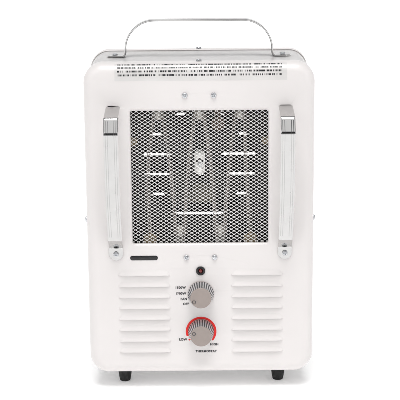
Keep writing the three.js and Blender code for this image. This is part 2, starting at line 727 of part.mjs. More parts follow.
function motorMount() {
  const { half, thick, shelfZ } = MOTOR_MOUNT;
  const shroudFace = DUCT.back + GAP + SHEET + GAP + thick / 2;
  const seat = MOTOR.top + GAP + thick / 2;
  const line = roundedLine([
    [MOTOR.back, seat, 0],
    [MOTOR.front, seat, 2],
    [MOTOR.front, shelfZ, 2],
    [shroudFace, shelfZ, 2],
    [shroudFace, DUCT.top, 0],
  ], 3);
  return extruded(band(line, thick), "yz", -half, half);
}

// ---------------------------------------------------------------- tip-over switch and cord gland

function tiltSwitch() {
  const { x, y, pinZ, pin } = TILT;
  const floor = WRAP_BOTTOM + SHEET + GAP;
  const base = block(x - 4, x + 22, y - 16, y + 16, floor, floor + SHEET);
  const upright = block(x + 8, x + 8 + SHEET, y - 12, y + 12, floor, pinZ + 10);
  const pinRod = rodX(pin, y, pinZ, x - 3, x + 9, 10);
  const microswitch = block(x + 8, x + 19, y - 11, y + 11, floor + 8, floor + 24);
  return joined([base, upright, pinRod, microswitch]);
}

// The swinging weight hangs on the pin, its top eye round the pin and its bob below.
function tiltWeight() {
  const { x, y, pinZ, pin, arm, swing } = TILT;
  const eye = rodX(pin + 2.6, y, pinZ, x, x + swing, 14);
  const rod = block(x, x + swing, y - 2, y + 2, pinZ - arm, pinZ);
  const bob = rodX(6, y, pinZ - arm, x - 1.5, x + swing + 1.5, 16);
  return cut(joined([eye, rod, bob]), rodX(pin + 0.4, y, pinZ, x - 1, x + swing + 1, 14));
}

function cordGland() {
  const { bore, barrel, flange } = GLAND;
  const profile = [[bore, -9], [barrel, -9], [barrel, GAP], [flange, GAP], [flange, 1.6], [flange - 2, 3],
    [bore, 3], [bore, -9]];
  return turned(profile, Y_AXIS, 18);
}

// ---------------------------------------------------------------- put together

addPiece("front_panel", frontPanel(), WHITE_PAINT);
addPiece("cabinet_wrap", cabinetWrap(), GREY_PAINT);
addPiece("back_panel", backPanel(), WHITE_PAINT);
addPiece("grille", grille(), BRIGHT_MESH);
addPiece("carry_handle", carryHandle(), CHROME);

for (const [sideName, side] of [["left", -1], ["right", 1]]) {
  const flank = new THREE.Vector3(side, 0, 0);
  const edge = (side * CASE.width) / 2;
  const handleTop = WRAP_TOP + GAP + HANDLE.thick;
  const guardFace = -GAP - GUARD.thick;
  addPiece(`guard_${sideName}`, guard(side), CHROME);
  addScrew(`handle_screw_${sideName}`, side * HANDLE.screwX, HANDLE.y, handleTop, Z_AXIS, 9);
  addScrew(`guard_screw_${sideName}`, side * GUARD.x, guardFace, GUARD.screwZ, BACK_TO_FRONT, 9);
  addScrew(`panel_screw_top_${sideName}`, side * PANEL_SCREW.x, 0, PANEL_SCREW.high, BACK_TO_FRONT, 12);
  addScrew(`panel_screw_bottom_${sideName}`, side * PANEL_SCREW.x, 0, PANEL_SCREW.low, BACK_TO_FRONT, 12);
  addScrew(`front_rim_screw_${sideName}`, edge, RIM_SCREW.front, RIM_SCREW.z, flank, 7);
  addScrew(`back_rim_screw_${sideName}`, edge, RIM_SCREW.back, RIM_SCREW.z, flank, 7);
  addPiece(`coil_terminal_${sideName}`, coilTerminal(side), CERAMIC);
}
addScrew("front_rim_screw_top", 0, RIM_SCREW.front, CASE.top, Z_AXIS, 7);
addScrew("back_rim_screw_top", 0, RIM_SCREW.back, CASE.top, Z_AXIS, 7);

for (const { name, x, y } of footPlaces()) {
  addPiece(name, turned(footProfile(), Z_AXIS, 14), RUBBER).position.set(x, y, 0);
}

addControl("selector", SELECTOR_Z, SELECTOR_REST, controlBody(15, 17, 20, [-9, 0, 9]));
addControl("thermostat", THERMOSTAT_Z, THERMOSTAT_REST, controlBody(18, 16, 13.5, [-10, 10]));
addPiece("pilot_bezel", pilotBezel(), BLACK_PLASTIC).position.z = PILOT.z;
addPiece("pilot_lens", pilotLens(), RED_LENS).position.z = PILOT.z;

addPiece("element_duct", elementDuct(), ZINC);
addPiece("heating_coil", heatingCoil(), RESISTANCE_WIRE);
["left", "middle", "right"].forEach((place, i) => {
  const tab = insulator(DUCT.top - DUCT.wall - GAP, COIL.topZ);
  addPiece(`insulator_top_${place}`, tab, CERAMIC).position.x = COIL.topPegs[i];
});
["left", "right"].forEach((place, i) => {
  const tab = insulator(DUCT.bottom + DUCT.wall + GAP, COIL.bottomZ);
  addPiece(`insulator_bottom_${place}`, tab, CERAMIC).position.x = COIL.bottomPegs[i];
});
addPiece("thermal_cutout", thermalCutout(), PHENOLIC);

addPiece("fan_shroud", fanShroud(), ZINC);
addPiece("fan", fan(), ALUMINIUM);
addPiece("motor_shaft", rodY(MOTOR.shaft, 0, FAN.z, MOTOR_SHAFT.front, MOTOR_SHAFT.back, 12), ZINC);
addPiece("motor_rotor", rotor(), CORE_STEEL);
addPiece("motor_stator", stator(), CORE_STEEL);
addPiece("motor_winding", windingCoil(), COIL_TAPE);
addPiece("motor_bearing_front", bearing(MOTOR.front, -1), ZINC);
addPiece("motor_bearing_back", bearing(MOTOR.back, 1), ZINC);
addPiece("motor_mount", motorMount(), ZINC);

addPiece("tilt_switch", tiltSwitch(), BLACK_PLASTIC);
addPiece("tilt_weight", tiltWeight(), ZINC);
addPiece("cord_gland", cordGland(), BLACK_PLASTIC).position.set(GLAND.x, CASE.depth, GLAND.z);

// The part's own frame has its origin on the floor under the middle of the whole object.
const extent = new THREE.Box3().setFromObject(heater);
heater.position.y = -(extent.min.y + extent.max.y) / 2;

const part = new THREE.Group();
part.add(heater);

export default part;
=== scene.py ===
"""The visible space heater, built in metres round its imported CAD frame."""

import math

import bmesh
import bpy
from mathutils import Matrix, Vector
from mathutils.geometry import tessellate_polygon


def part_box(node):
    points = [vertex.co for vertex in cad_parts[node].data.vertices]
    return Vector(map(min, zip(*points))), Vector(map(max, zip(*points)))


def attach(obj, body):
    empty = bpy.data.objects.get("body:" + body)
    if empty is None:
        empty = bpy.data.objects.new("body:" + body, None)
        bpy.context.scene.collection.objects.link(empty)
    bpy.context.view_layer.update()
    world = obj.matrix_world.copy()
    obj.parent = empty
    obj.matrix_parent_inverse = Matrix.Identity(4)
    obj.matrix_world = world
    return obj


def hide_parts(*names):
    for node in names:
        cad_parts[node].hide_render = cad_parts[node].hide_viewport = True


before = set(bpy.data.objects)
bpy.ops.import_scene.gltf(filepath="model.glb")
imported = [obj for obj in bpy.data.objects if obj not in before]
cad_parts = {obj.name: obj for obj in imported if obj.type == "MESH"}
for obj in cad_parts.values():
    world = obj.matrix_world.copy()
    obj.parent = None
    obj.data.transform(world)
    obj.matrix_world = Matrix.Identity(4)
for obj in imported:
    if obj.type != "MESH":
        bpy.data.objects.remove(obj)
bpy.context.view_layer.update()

MM = 0.001
TAU = 2 * math.pi
MERGE, TINY = 1e-6, 1e-7  # points nearer than this are one; edges shorter than this go

# ------------------------------ places taken from the frame


def middle(node):
    low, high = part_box(node)
    return (low + high) / 2


pan_low, pan_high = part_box("front_panel")
back_low, back_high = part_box("back_panel")
wrap_low, wrap_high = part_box("cabinet_wrap")

PAN_DEPTH = 23 * MM
FRONT = pan_high.y - PAN_DEPTH  # the flat front face
BACK = back_high.y
CASE_HALF = pan_high.x
CASE_LOW, CASE_HIGH = pan_low.z, pan_high.z
CASE_MID = (CASE_LOW + CASE_HIGH) / 2
CASE_TALL = CASE_HIGH - CASE_LOW
CORNER, WRAP_CORNER = 22 * MM, 20.5 * MM
FRONT_FILLET, BACK_FILLET = 12 * MM, 5 * MM
PAN_SHEET, WRAP_SHEET = 1.4 * MM, 1.08 * MM
# Flat bands that keep the shading of a bend off the flat face beside it.
PAN_BAND, OPENING_BAND, LOUVRE_BAND = 1.0 * MM, 0.8 * MM, 0.5 * MM

OPENING_HALF_X, OPENING_HALF_Z = 75.7 * MM, 75.2 * MM
OPENING_Z = middle("grille").z
OPENING_CORNER, OPENING_ROLL, OPENING_COLLAR = 2 * MM, 3.0 * MM, 5 * MM

LOUVRE_X, LOUVRE_HALF, LOUVRE_TALL, LOUVRE_RISE = 63.5 * MM, 29 * MM, 6.5 * MM, 2.3 * MM
LOUVRE_TOP, LOUVRE_PITCH, LOUVRE_ROWS = 135.5 * MM, 12.9 * MM, 8
LOUVRE_SQUARENESS, LOUVRE_SHOULDER, LOUVRE_SWELL = 9, 0.6, 0.45  # of its outline, its ends and its hood

REAR_SLOT_HALF, REAR_SLOT_TALL = 69 * MM, 3 * MM
REAR_SLOT_LOWEST, REAR_SLOT_PITCH, REAR_SLOT_ROWS = 149.7 * MM, 24.4 * MM, 8

DIAMOND_X, DIAMOND_Z = 6.3 * MM, 4.0 * MM
STRAND_HALF, STRAND_THICK, STRAND_TILT = 0.25 * MM, 0.4 * MM, 0.35 * MM
KNUCKLE_WIDEN, HOLE_ROUNDING, GRILLE_RIM = 1.6, 0.7, 2.6 * MM

guard_low, guard_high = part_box("guard_left")
GUARD_HALF = (guard_high.x - guard_low.x) / 2
GUARD_THICK = 1.6 * MM
GUARD_SLOT_Z, GUARD_SLOT_HALF, GUARD_SLOT_TALL, GUARD_SLOT_CORNER = 327.3 * MM, 6.1 * MM, 2.8 * MM, 1.0 * MM
TONGUE_HALF, TONGUE_FROM, TONGUE_TO, TONGUE_THIN = 5.6 * MM, -2 * MM, 7 * MM, 0.5 * MM
RIB_START, RIB_LENGTH, RIB_RISE = 43 * MM, 132 * MM, 0.5 * MM
# Across a strap, in parts of its half width: its ribs, their creases, which are painted darker as painted
# shade, and where its edges start to thin.
RIB_PLACE, RIB_HALF, CREASES, EDGE_FROM = 0.6, 0.17, ((0.42, 0.5), (0.7, 0.78)), 0.86
# Heights of the painted crease shade down a guard's front: dimmer chrome below CREASE_BEND, dark chrome from
# there to CREASE_HIGH.
CREASE_LOW, CREASE_BEND, CREASE_HIGH = 185 * MM, 308 * MM, 320 * MM

HANDLE_THICK, HANDLE_LEG, HANDLE_BEND = 1.8 * MM, 83 * MM, 33 * MM

SCREW_HEAD, SCREW_HEAD_TALL, SCREW_SHANK, SCREW_HOLE = 3.1 * MM, 2.1 * MM, 1.7 * MM, 2.1 * MM
SHAFT_HOLE, PILOT_HOLE, GLAND_HOLE = 4.8 * MM, 4.2 * MM, 8 * MM

# A knob's radii and its heights above the panel, in millimetres.
KNOB_BASE, KNOB_FACE, KNOB_FOOT, KNOB_TOP = 14.7, 11.8, 0.8, 18.8
KNOB_SIDE_LOW, KNOB_SIDE_HIGH = 3.0, KNOB_TOP - 0.9
DOT_PLACE, FLUTES, FLUTE_DEPTH, FLUTE_WIDEN, FLUTE_FADE = 8.8, 30, 0.8, 0.25, 1.2

SELECTOR = middle("selector_shaft")
THERMOSTAT = middle("thermostat_shaft")
PILOT = middle("pilot_lens")
FAN_Z = middle("motor_shaft").z

SIDES = ("left", "right")


# ------------------------------ materials


class Nodes:
    """A short way to write a material's node tree."""

    def __init__(self, name):
        self.material = bpy.data.materials.new(name)
        self.material.use_nodes = True
        self.tree = self.material.node_tree
        self.shader = self.tree.nodes["Principled BSDF"]

    def node(self, kind, inputs=(), **settings):
        made = self.tree.nodes.new(kind)
        for key, value in settings.items():
            setattr(made, key, value)
        for key, value in dict(inputs).items():
            self.feed(made.inputs[key], value)
        return made

    def feed(self, socket, value):
        if isinstance(value, bpy.types.NodeSocket):
            self.tree.links.new(value, socket)
        else:
            socket.default_value = value

    def place(self):
        return self.node("ShaderNodeTexCoord").outputs["Object"]

    def stretch(self, scale):
        mapping = self.node("ShaderNodeMapping", {"Vector": self.place(), "Scale": scale})
        return mapping.outputs["Vector"]

    def noise(self, scale, detail, vector=None):
        inputs = {"Vector": vector or self.place(), "Scale": scale, "Detail": detail}
        return self.node("ShaderNodeTexNoise", inputs).outputs["Fac"]

    def wave(self, scale, distortion, direction):
        inputs = {"Vector": self.place(), "Scale": scale, "Distortion": distortion}
        return self.node("ShaderNodeTexWave", inputs, bands_direction=direction).outputs["Fac"]

    def ramp(self, value, low=0.0, high=1.0):
        """Spreads the range in which a noise mostly lies over low to high."""
        inputs = {"Value": value, "From Min": 0.35, "From Max": 0.65, "To Min": low, "To Max": high}
        return self.node("ShaderNodeMapRange", inputs).outputs["Result"]

    def mix(self, factor, first, second):
        made = self.node("ShaderNodeMix", data_type="RGBA")
        self.feed(made.inputs["Factor"], factor)
        self.feed(made.inputs["A"], first)
        self.feed(made.inputs["B"], second)
        return made.outputs["Result"]

    def maths(self, operation, first, second=0.0):
        made = self.node("ShaderNodeMath", operation=operation)
        self.feed(made.inputs[0], first)
        self.feed(made.inputs[1], second)
        return made.outputs[0]

    def bump(self, height, distance, strength=1.0, below=None):
        inputs = {"Height": height, "Distance": distance, "Strength": strength}
        if below is not None:
            inputs["Normal"] = below
        return self.node("ShaderNodeBump", inputs).outputs["Normal"]

    def surface(self, **inputs):
        names = {"colour": "Base Color", "roughness": "Roughness", "metallic": "Metallic", "normal": "Normal",
                 "coat": "Coat Weight", "coat_roughness": "Coat Roughness", "specular": "Specular IOR Level",
                 "emission": "Emission Color", "glow": "Emission Strength"}
        for key, value in inputs.items():
            self.feed(self.shader.inputs[names[key]], value)
        return self.material


def shade_of(colour, factor):
    return tuple(min(1.0, channel * factor) for channel in colour) + (1.0,)


def mottled(n, colour, spread, scale):
    """A colour that drifts a little, lighter and darker, over the surface."""
    return n.mix(n.ramp(n.noise(scale, 4)), shade_of(colour, 1 - spread), shade_of(colour, 1 + spread))


def enamel(name, colour):
    """Baked satin paint: fine orange peel, a slow unevenness of the sheet and faint handling marks."""
    n = Nodes(name)
    peel = n.bump(n.noise(900, 2), 0.06 * MM, 0.35)
    panel = n.bump(n.noise(9, 2), 1.2 * MM, 0.25, below=peel)
    roughness = n.ramp(n.noise(35, 5), 0.3, 0.42)
    return n.surface(colour=mottled(n, colour, 0.012, 14), roughness=roughness, normal=panel,
                     coat=0.25, coat_roughness=0.18)


def polished(name, colour, low, high, grain=(40, 40, 900), lift=0.02 * MM):
    """Plated or bare metal: fine scratches along its grain, cloudy patches from low to high in roughness."""
    n = Nodes(name)
    scratches = n.noise(1.0, 3, n.stretch(grain))
    clouds = n.ramp(n.noise(45, 4), low, high)
    normal = n.bump(scratches, lift, 0.5)
    return n.surface(colour=mottled(n, colour, 0.03, 60), metallic=1.0, roughness=clouds, normal=normal)


def moulded(name, colour, low=0.38, high=0.55, grain=1400, spread=0.03):
    """Moulded plastic, rubber or fired clay with a fine grain, low to high in roughness."""
    n = Nodes(name)
    roughness = n.ramp(n.noise(200, 3), low, high)
    normal = n.bump(n.noise(grain, 2), 0.05 * MM, 0.5)
    return n.surface(colour=mottled(n, colour, spread, 120), roughness=roughness, normal=normal)


def bright_wire(name, colour):
    """Bright-dipped sheet, slit and stretched: half metal, half soft white bloom."""
    n = Nodes(name)
    roughness = n.ramp(n.noise(90, 4), 0.3, 0.45)
    normal = n.bump(n.noise(700, 2), 0.03 * MM, 0.5)
    return n.surface(colour=mottled(n, colour, 0.03, 300), metallic=0.35, roughness=roughness, normal=normal)


def heat_tint_and_shade_steel(name):
    """Sheet steel painted near black as painted shade for the unlit inside, with brownish patches of heat
    tint and a dull mill finish.
    """
    n = Nodes(name)
    tint = n.mix(n.ramp(n.noise(18, 4)), (0.008, 0.007, 0.006, 1), (0.018, 0.015, 0.013, 1))
    normal = n.bump(n.noise(1.0, 3, n.stretch((300, 300, 40))), 0.03 * MM, 0.4)
    return n.surface(colour=tint, metallic=0.3, roughness=n.ramp(n.noise(60, 4), 0.5, 0.75), normal=normal)


def laminated(name):
    """A core of thin steel sheets, seen as fine lines across its thickness."""
    n = Nodes(name)
    sheets = n.wave(320.0, 0.4, "Y")
    tone = n.mix(sheets, (0.02, 0.02, 0.022, 1), (0.07, 0.07, 0.075, 1))
    return n.surface(colour=tone, metallic=0.8, roughness=0.45, normal=n.bump(sheets, 0.15 * MM))


def wound_tape(name):
    """Pale cloth tape wound round a coil."""
    n = Nodes(name)
    turns = n.wave(90.0, 1.5, "X")
    tone = n.mix(turns, (0.20, 0.18, 0.13, 1), (0.34, 0.31, 0.24, 1))
    return n.surface(colour=tone, roughness=0.75, normal=n.bump(turns, 0.3 * MM))


def red_lens(name):
    """Moulded red glass, a little uneven."""
    n = Nodes(name)
    tone = n.mix(n.ramp(n.noise(900, 2)), (0.11, 0.004, 0.004, 1), (0.17, 0.008, 0.007, 1))
    return n.surface(colour=tone, roughness=0.12, coat=0.6, normal=n.bump(n.noise(700, 1), 0.1 * MM, 0.4))


def printed(name, colour):
    """Screen-printed ink, a little uneven."""
    n = Nodes(name)
    normal = n.bump(n.noise(2500, 2), 0.02 * MM)
    return n.surface(colour=mottled(n, colour, 0.08, 900), roughness=0.45, normal=normal)


def label_film(name):
    """Silvery film with rows of meaningless dashes in place of print; its lowest row is left empty."""
    rows, dashes_across = 5, 260
    n = Nodes(name)
    split = n.node("ShaderNodeSeparateXYZ", {"Vector": n.node("ShaderNodeUVMap").outputs["UV"]})
    across, up = split.outputs["X"], split.outputs["Y"]
    count = n.maths("MULTIPLY", up, rows)
    row = n.maths("FRACT", count)
    in_row = n.maths("MULTIPLY", n.maths("GREATER_THAN", row, 0.25), n.maths("LESS_THAN", row, 0.75))
    above = n.maths("GREATER_THAN", up, 1 / rows)
    place = {"X": n.maths("MULTIPLY", across, dashes_across),
             "Y": n.maths("MULTIPLY", n.maths("FLOOR", count), 7.3), "Z": 0.0}
    dashes = n.noise(1.0, 0.0, n.node("ShaderNodeCombineXYZ", place).outputs["Vector"])
    printed_here = n.maths("MULTIPLY", n.maths("GREATER_THAN", dashes, 0.46), in_row)
    inside = n.maths("MULTIPLY", n.maths("GREATER_THAN", across, 0.015), n.maths("LESS_THAN", across, 0.97))
    ink = n.maths("MULTIPLY", printed_here, n.maths("MULTIPLY", inside, above))
    film = n.mix(n.ramp(n.noise(40, 3)), (0.66, 0.64, 0.63, 1), (0.72, 0.70, 0.69, 1))
    tone = n.mix(ink, film, (0.02, 0.02, 0.022, 1))
    return n.surface(colour=tone, roughness=0.38, metallic=0.1, normal=n.bump(n.noise(300, 2), 0.02 * MM))


WHITE = enamel("white_enamel", (0.755, 0.722, 0.712))
GREY = enamel("grey_enamel", (0.56, 0.545, 0.54))
CHROME = polished("chrome_plate", (0.585, 0.578, 0.572), 0.05, 0.12, lift=0.004 * MM)
# Dimmer chrome, painted shade in the creases beside the guards' ribs.
CHROME_CREASE_SHADE = polished("chrome_crease_shade", (0.47, 0.465, 0.46), 0.2, 0.3)
# Near-black chrome: painted shade at the guards' crease bends and on the handle's inner side.
CHROME_PAINTED_SHADE = polished("chrome_painted_shade", (0.10, 0.10, 0.105), 0.12, 0.2)
ZINC = polished("zinc_plate", (0.62, 0.63, 0.65), 0.2, 0.38, grain=(500, 500, 500))
MESH = bright_wire("bright_mesh", (0.97, 0.96, 0.945))
BLADE = moulded("dark_blade", (0.022, 0.020, 0.018), 0.4, 0.55, 500)
BRIGHT_HUB = polished("bright_hub", (0.9, 0.89, 0.86), 0.2, 0.3, grain=(600, 600, 600))
# Near-black steel: painted shade for the unlit inside of the casing and of the parts within it.
DARK_STEEL = heat_tint_and_shade_steel("heat_tint_and_shade_steel")
CORE = laminated("laminated_core")
TAPE = wound_tape("winding_tape")
WIRE = moulded("heating_wire", (0.42, 0.37, 0.34), 0.35, 0.5, 900)
RUBBER = moulded("black_rubber", (0.009, 0.009, 0.0092), 0.55, 0.75, 900, 0.1)
KNOB = moulded("knob_plastic", (0.325, 0.275, 0.252), 0.3, 0.42)
# Near black: painted shade in the knob flutes and in the hub clip's pressed ring, and the knob's own dark
# ring dot.
GROOVE_SHADE_AND_DOT = moulded("groove_shade_and_dot", (0.055, 0.055, 0.06), 0.35, 0.5)
KNOB_RIDGE = polished("knob_ridge", (0.72, 0.72, 0.73), 0.25, 0.38, grain=(300, 300, 300))
BLACK = moulded("black_plastic", (0.012, 0.012, 0.013), 0.25, 0.4)
CERAMIC = moulded("pale_ceramic", (0.86, 0.82, 0.76), 0.35, 0.6, 700)
TAN = moulded("tan_ceramic", (0.42, 0.32, 0.20), 0.45, 0.65, 700)
PHENOLIC = moulded("brown_phenolic", (0.10, 0.055, 0.035), 0.4, 0.55)
LENS = red_lens("red_lens")
BLACK_INK = printed("black_ink", (0.02, 0.02, 0.022))
RED_INK = printed("red_ink", (0.76, 0.012, 0.008))
LABEL = label_film("label_film")

# ------------------------------ building meshes


class Skin:
    """Points and faces of one surface, gathered ring by ring."""

    def __init__(self):
        self.points, self.faces = [], []

    def ring(self, points):
        start = len(self.points)
        self.points.extend(points)
        return list(range(start, len(self.points)))

    def bridge(self, first, second, closed=True):
        count = len(first)
        for i in range(count if closed else count - 1):
            j = (i + 1) % count
            self.faces.append((first[i], first[j], second[j], second[i]))

    def loft(self, rings, closed=True):
        made = [self.ring(points) for points in rings]
        for first, second in zip(made, made[1:]):
            self.bridge(first, second, closed)
        return made

    def cap(self, ring):
        self.faces.append(tuple(ring))

    def join(self, other):
        start = len(self.points)
        self.points.extend(other.points)
        self.faces.extend(tuple(i + start for i in face) for face in other.faces)

    def fill(self, outer, holes):
        """Closes a flat face that looks along y, leaving the holes open."""
        loops = [[Vector((self.points[i].x, self.points[i].z, 0)) for i in loop] for loop in [outer, *holes]]
        order = [i for loop in [outer, *holes] for i in loop]
        self.faces.extend(tuple(order[i] for i in triangle) for triangle in tessellate_polygon(loops))


def add_piece(name, skin, material, nodes=(), body="casing", crease=35, facing=None, thickness=None,
              inside=None):
    """Turns a skin into a riding piece. facing is the way its largest face looks; thickness makes it a sheet,
    whose hidden side may have a material of its own."""
    mesh = bpy.data.meshes.new(name)
    mesh.from_pydata(skin.points, [], skin.faces)
    work = bmesh.new()
    work.from_mesh(mesh)
    bmesh.ops.remove_doubles(work, verts=work.verts, dist=MERGE)
    bmesh.ops.dissolve_degenerate(work, edges=work.edges, dist=TINY)
    bmesh.ops.recalc_face_normals(work, faces=work.faces)
    if facing:
        largest = max(work.faces, key=lambda face: face.calc_area())
        if largest.normal.dot(Vector(facing)) < 0:
            bmesh.ops.reverse_faces(work, faces=work.faces)
    work.to_mesh(mesh)
    work.free()
    mesh.shade_smooth()
    mesh.set_sharp_from_angle(angle=math.radians(crease))
    piece = add_object(name, mesh, material, nodes, body, thickness)
    # The hidden side takes the inside material, here a near-black painted shade.
    if inside:
        mesh.materials.append(inside)
        piece.modifiers["sheet"].material_offset = 1
    return piece


def new_object(name, data):
    made = bpy.data.objects.new(name, data)
    bpy.context.scene.collection.objects.link(made)
    return made


def add_object(name, data, material, nodes=(), body="casing", thickness=None):
    """Puts a mesh, curve or text in the scene as a piece of one body, in place of the CAD nodes it covers."""
    data.materials.append(material)
    piece = new_object(name, data)
    if thickness:
        sheet = piece.modifiers.new("sheet", "SOLIDIFY")
        sheet.thickness = thickness
        sheet.offset = -1
        even = piece.modifiers.new("even_shading", "WEIGHTED_NORMAL")
        even.keep_sharp = True
    if nodes:
        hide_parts(*nodes)
    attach(piece, body)
    return piece


def rounded_loop(half_x, half_z, radius, centre_z, steps=12):
    """Points (x, z) round a rounded rectangle, counterclockwise from its right side."""
    loop = []
    for quarter, (sx, sz) in enumerate(((1, 1), (-1, 1), (-1, -1), (1, -1))):
        for step in range(steps + 1):
            angle = (quarter + step / steps) * TAU / 4
            x = sx * (half_x - radius) + radius * math.cos(angle)
            z = centre_z + sz * (half_z - radius) + radius * math.sin(angle)
            loop.append((x, z))
    return loop


def circle(x, z, radius, sides=24):
    angles = [TAU * i / sides for i in range(sides)]
    return [(x + radius * math.cos(angle), z + radius * math.sin(angle)) for angle in angles]


def at_depth(loop, y):
    return [Vector((x, y, z)) for x, z in loop]


def turned(profile, sides, origin, direction, wobble=None):
    """A surface of revolution: profile is (radius, height) pairs in millimetres, height runs along direction
    from origin, and wobble(angle, height) adds to the radius."""
    skin = Skin()
    turn = Vector((0, 0, 1)).rotation_difference(Vector(direction)).to_matrix()
    rings = []
    for radius, height in profile:
        ring = []
        for i in range(sides):
            angle = TAU * i / sides
            r = radius + (wobble(angle, height) if wobble else 0)
            point = Vector((r * math.cos(angle), r * math.sin(angle), height)) * MM
            ring.append(Vector(origin) + turn @ point)
        rings.append(ring)
    skin.loft(rings)
    return skin


def smooth_corner(line, steps=8):
    """Rounds each corner (u, v, radius) of an open line but its two ends."""
    points = [Vector(corner[:2]) for corner in line]
    out = [points[0]]
    for i in range(1, len(points) - 1):
        into = (points[i - 1] - points[i]).normalized()
        away = (points[i + 1] - points[i]).normalized()
        half = math.acos(max(-1.0, min(1.0, into.dot(away)))) / 2
        radius = line[i][2]
        centre = points[i] + (into + away).normalized() * radius / math.sin(half)
        start = points[i] + into * radius / math.tan(half) - centre
        end = points[i] + away * radius / math.tan(half) - centre
        sweep = start.angle_signed(end)
        for step in range(steps + 1):
            out.append(centre + Matrix.Rotation(-sweep * step / steps, 2) @ start)
    out.append(points[-1])
    return out


def resampled(line, spacing):
    """The same open line with points no further apart than spacing, and its running length."""
    out, run = [line[0]], [0.0]
    for first, second in zip(line, line[1:]):
        length = (second - first).length
        if length < TINY:
            continue
        count = max(1, math.ceil(length / spacing))
        for step in range(1, count + 1):
            out.append(first.lerp(second, step / count))
            run.append(run[-1] + length / count)
    return out, run


# ------------------------------ casing


def pan(skin, face, back_way, fillet, depth, holes):
    """A pressed pan: flange, rounded edge and flat face. back_way is +1 if its flange runs towards +y."""
    steps = 10
    rings = [(0, depth), (0, (fillet + depth) / 2)]
    for step in range(steps + 1):
        angle = TAU / 4 * step / steps
        rings.append((fillet * (1 - math.cos(angle)), fillet * (1 - math.sin(angle))))
    rings.append((fillet + PAN_BAND, 0))
    loops = []
    for inset, back in rings:
        outline = rounded_loop(CASE_HALF - inset, CASE_TALL / 2 - inset, CORNER - inset, CASE_MID)
        loops.append(at_depth(outline, face + back_way * back))
    made = skin.loft(loops)
    skin.fill(made[-1], holes)


def grow_loop(loop, amount):
    """A convex loop moved outwards by amount."""
    count = len(loop)
    out = []
    for i, (x, z) in enumerate(loop):
        (x0, z0), (x1, z1) = loop[i - 1], loop[(i + 1) % count]
        along = Vector((x1 - x0, z1 - z0)).normalized()
        out.append((x + along.y * amount, z - along.x * amount))
    return out


def rolled_opening(skin):
    """The grille opening: the sheet rolls inwards and runs back as a short collar."""
    steps = 6
    rings = [(OPENING_ROLL + OPENING_BAND, 0)]
    for step in range(steps + 1):
        angle = TAU / 4 * step / steps
        rings.append((OPENING_ROLL * (1 - math.sin(angle)), OPENING_ROLL * (1 - math.cos(angle))))
    rings.append((0, OPENING_COLLAR))
    loops = []
    for grow, back in rings:
        corner = OPENING_CORNER + grow
        outline = rounded_loop(OPENING_HALF_X + grow, OPENING_HALF_Z + grow, corner, OPENING_Z, 6)
        loops.append(at_depth(outline, FRONT + back))
    return skin.loft(loops)[0]


def louvre(skin, x, z):
    """One pressed louvre with its hood open downwards; returns the loop it leaves in the flat face."""
    count, steps = 24, 6
    top = []
    for i in range(count + 1):
        u = -math.cos(math.pi * i / count)
        top.append((u * LOUVRE_HALF, LOUVRE_TALL * (1 - abs(u) ** LOUVRE_SQUARENESS) ** LOUVRE_SHOULDER))
    bottom = [(u, 0.0) for u, _ in top[-2:0:-1]]
    plan = [(x + u, z + v) for u, v in top + bottom][::-1]
    edge = skin.ring(at_depth(plan, FRONT))
    support = skin.ring(at_depth(grow_loop(plan, LOUVRE_BAND), FRONT))
    skin.bridge(edge, support)
    hood = []
    for step in range(steps + 1):
        t = step / steps
        lift = LOUVRE_SWELL * t * t * (3 - 2 * t) + (1 - LOUVRE_SWELL) * t
        row = [(x + u, FRONT - LOUVRE_RISE * lift * v / LOUVRE_TALL, z + v * (1 - t)) for u, v in top]
        hood.append([Vector(point) for point in row])
    skin.loft(hood, closed=False)
    return support


def round_hole(skin, at, radius, face=FRONT):
    return skin.ring(at_depth(circle(at.x, at.z, radius), face))


def front_panel():
    skin = Skin()
    holes = [rolled_opening(skin)]
    for side in (-1, 1):
        for row in range(LOUVRE_ROWS):
            holes.append(louvre(skin, side * LOUVRE_X, LOUVRE_TOP - row * LOUVRE_PITCH))
    for at, radius in ((SELECTOR, SHAFT_HOLE), (THERMOSTAT, SHAFT_HOLE), (PILOT, PILOT_HOLE)):
        holes.append(round_hole(skin, at, radius))
    slot = rounded_loop(GUARD_SLOT_HALF, GUARD_SLOT_TALL / 2, GUARD_SLOT_CORNER, GUARD_SLOT_Z, 3)
    for side in SIDES:
        for screw in (f"guard_screw_{side}", f"panel_screw_top_{side}", f"panel_screw_bottom_{side}"):
            holes.append(round_hole(skin, middle(screw), SCREW_HOLE))
        slot_x = middle(f"guard_{side}").x
        holes.append(skin.ring(at_depth([(slot_x + x, z) for x, z in slot], FRONT)))
    pan(skin, FRONT, 1, FRONT_FILLET, PAN_DEPTH, holes)
    # Its inside is painted near black as painted shade.
    add_piece("front_pan", skin, WHITE, ["front_panel"], facing=(0, -1, 0),
              thickness=PAN_SHEET, inside=DARK_STEEL)


def back_panel():
    skin = Skin()
    holes = []
    half_tall = REAR_SLOT_TALL / 2
    for row in range(REAR_SLOT_ROWS):
        z = REAR_SLOT_LOWEST + row * REAR_SLOT_PITCH
        outline = rounded_loop(REAR_SLOT_HALF, half_tall, half_tall - 0.05 * MM, z, 4)
        holes.append(skin.ring(at_depth(outline, BACK)))
    holes.append(round_hole(skin, middle("cord_gland"), GLAND_HOLE, BACK))
    pan(skin, BACK, -1, BACK_FILLET, back_high.y - back_low.y, holes)
    # Its inside is painted near black as painted shade.
    add_piece("back_pan", skin, WHITE, ["back_panel"], facing=(0, 1, 0),
              thickness=PAN_SHEET, inside=DARK_STEEL)


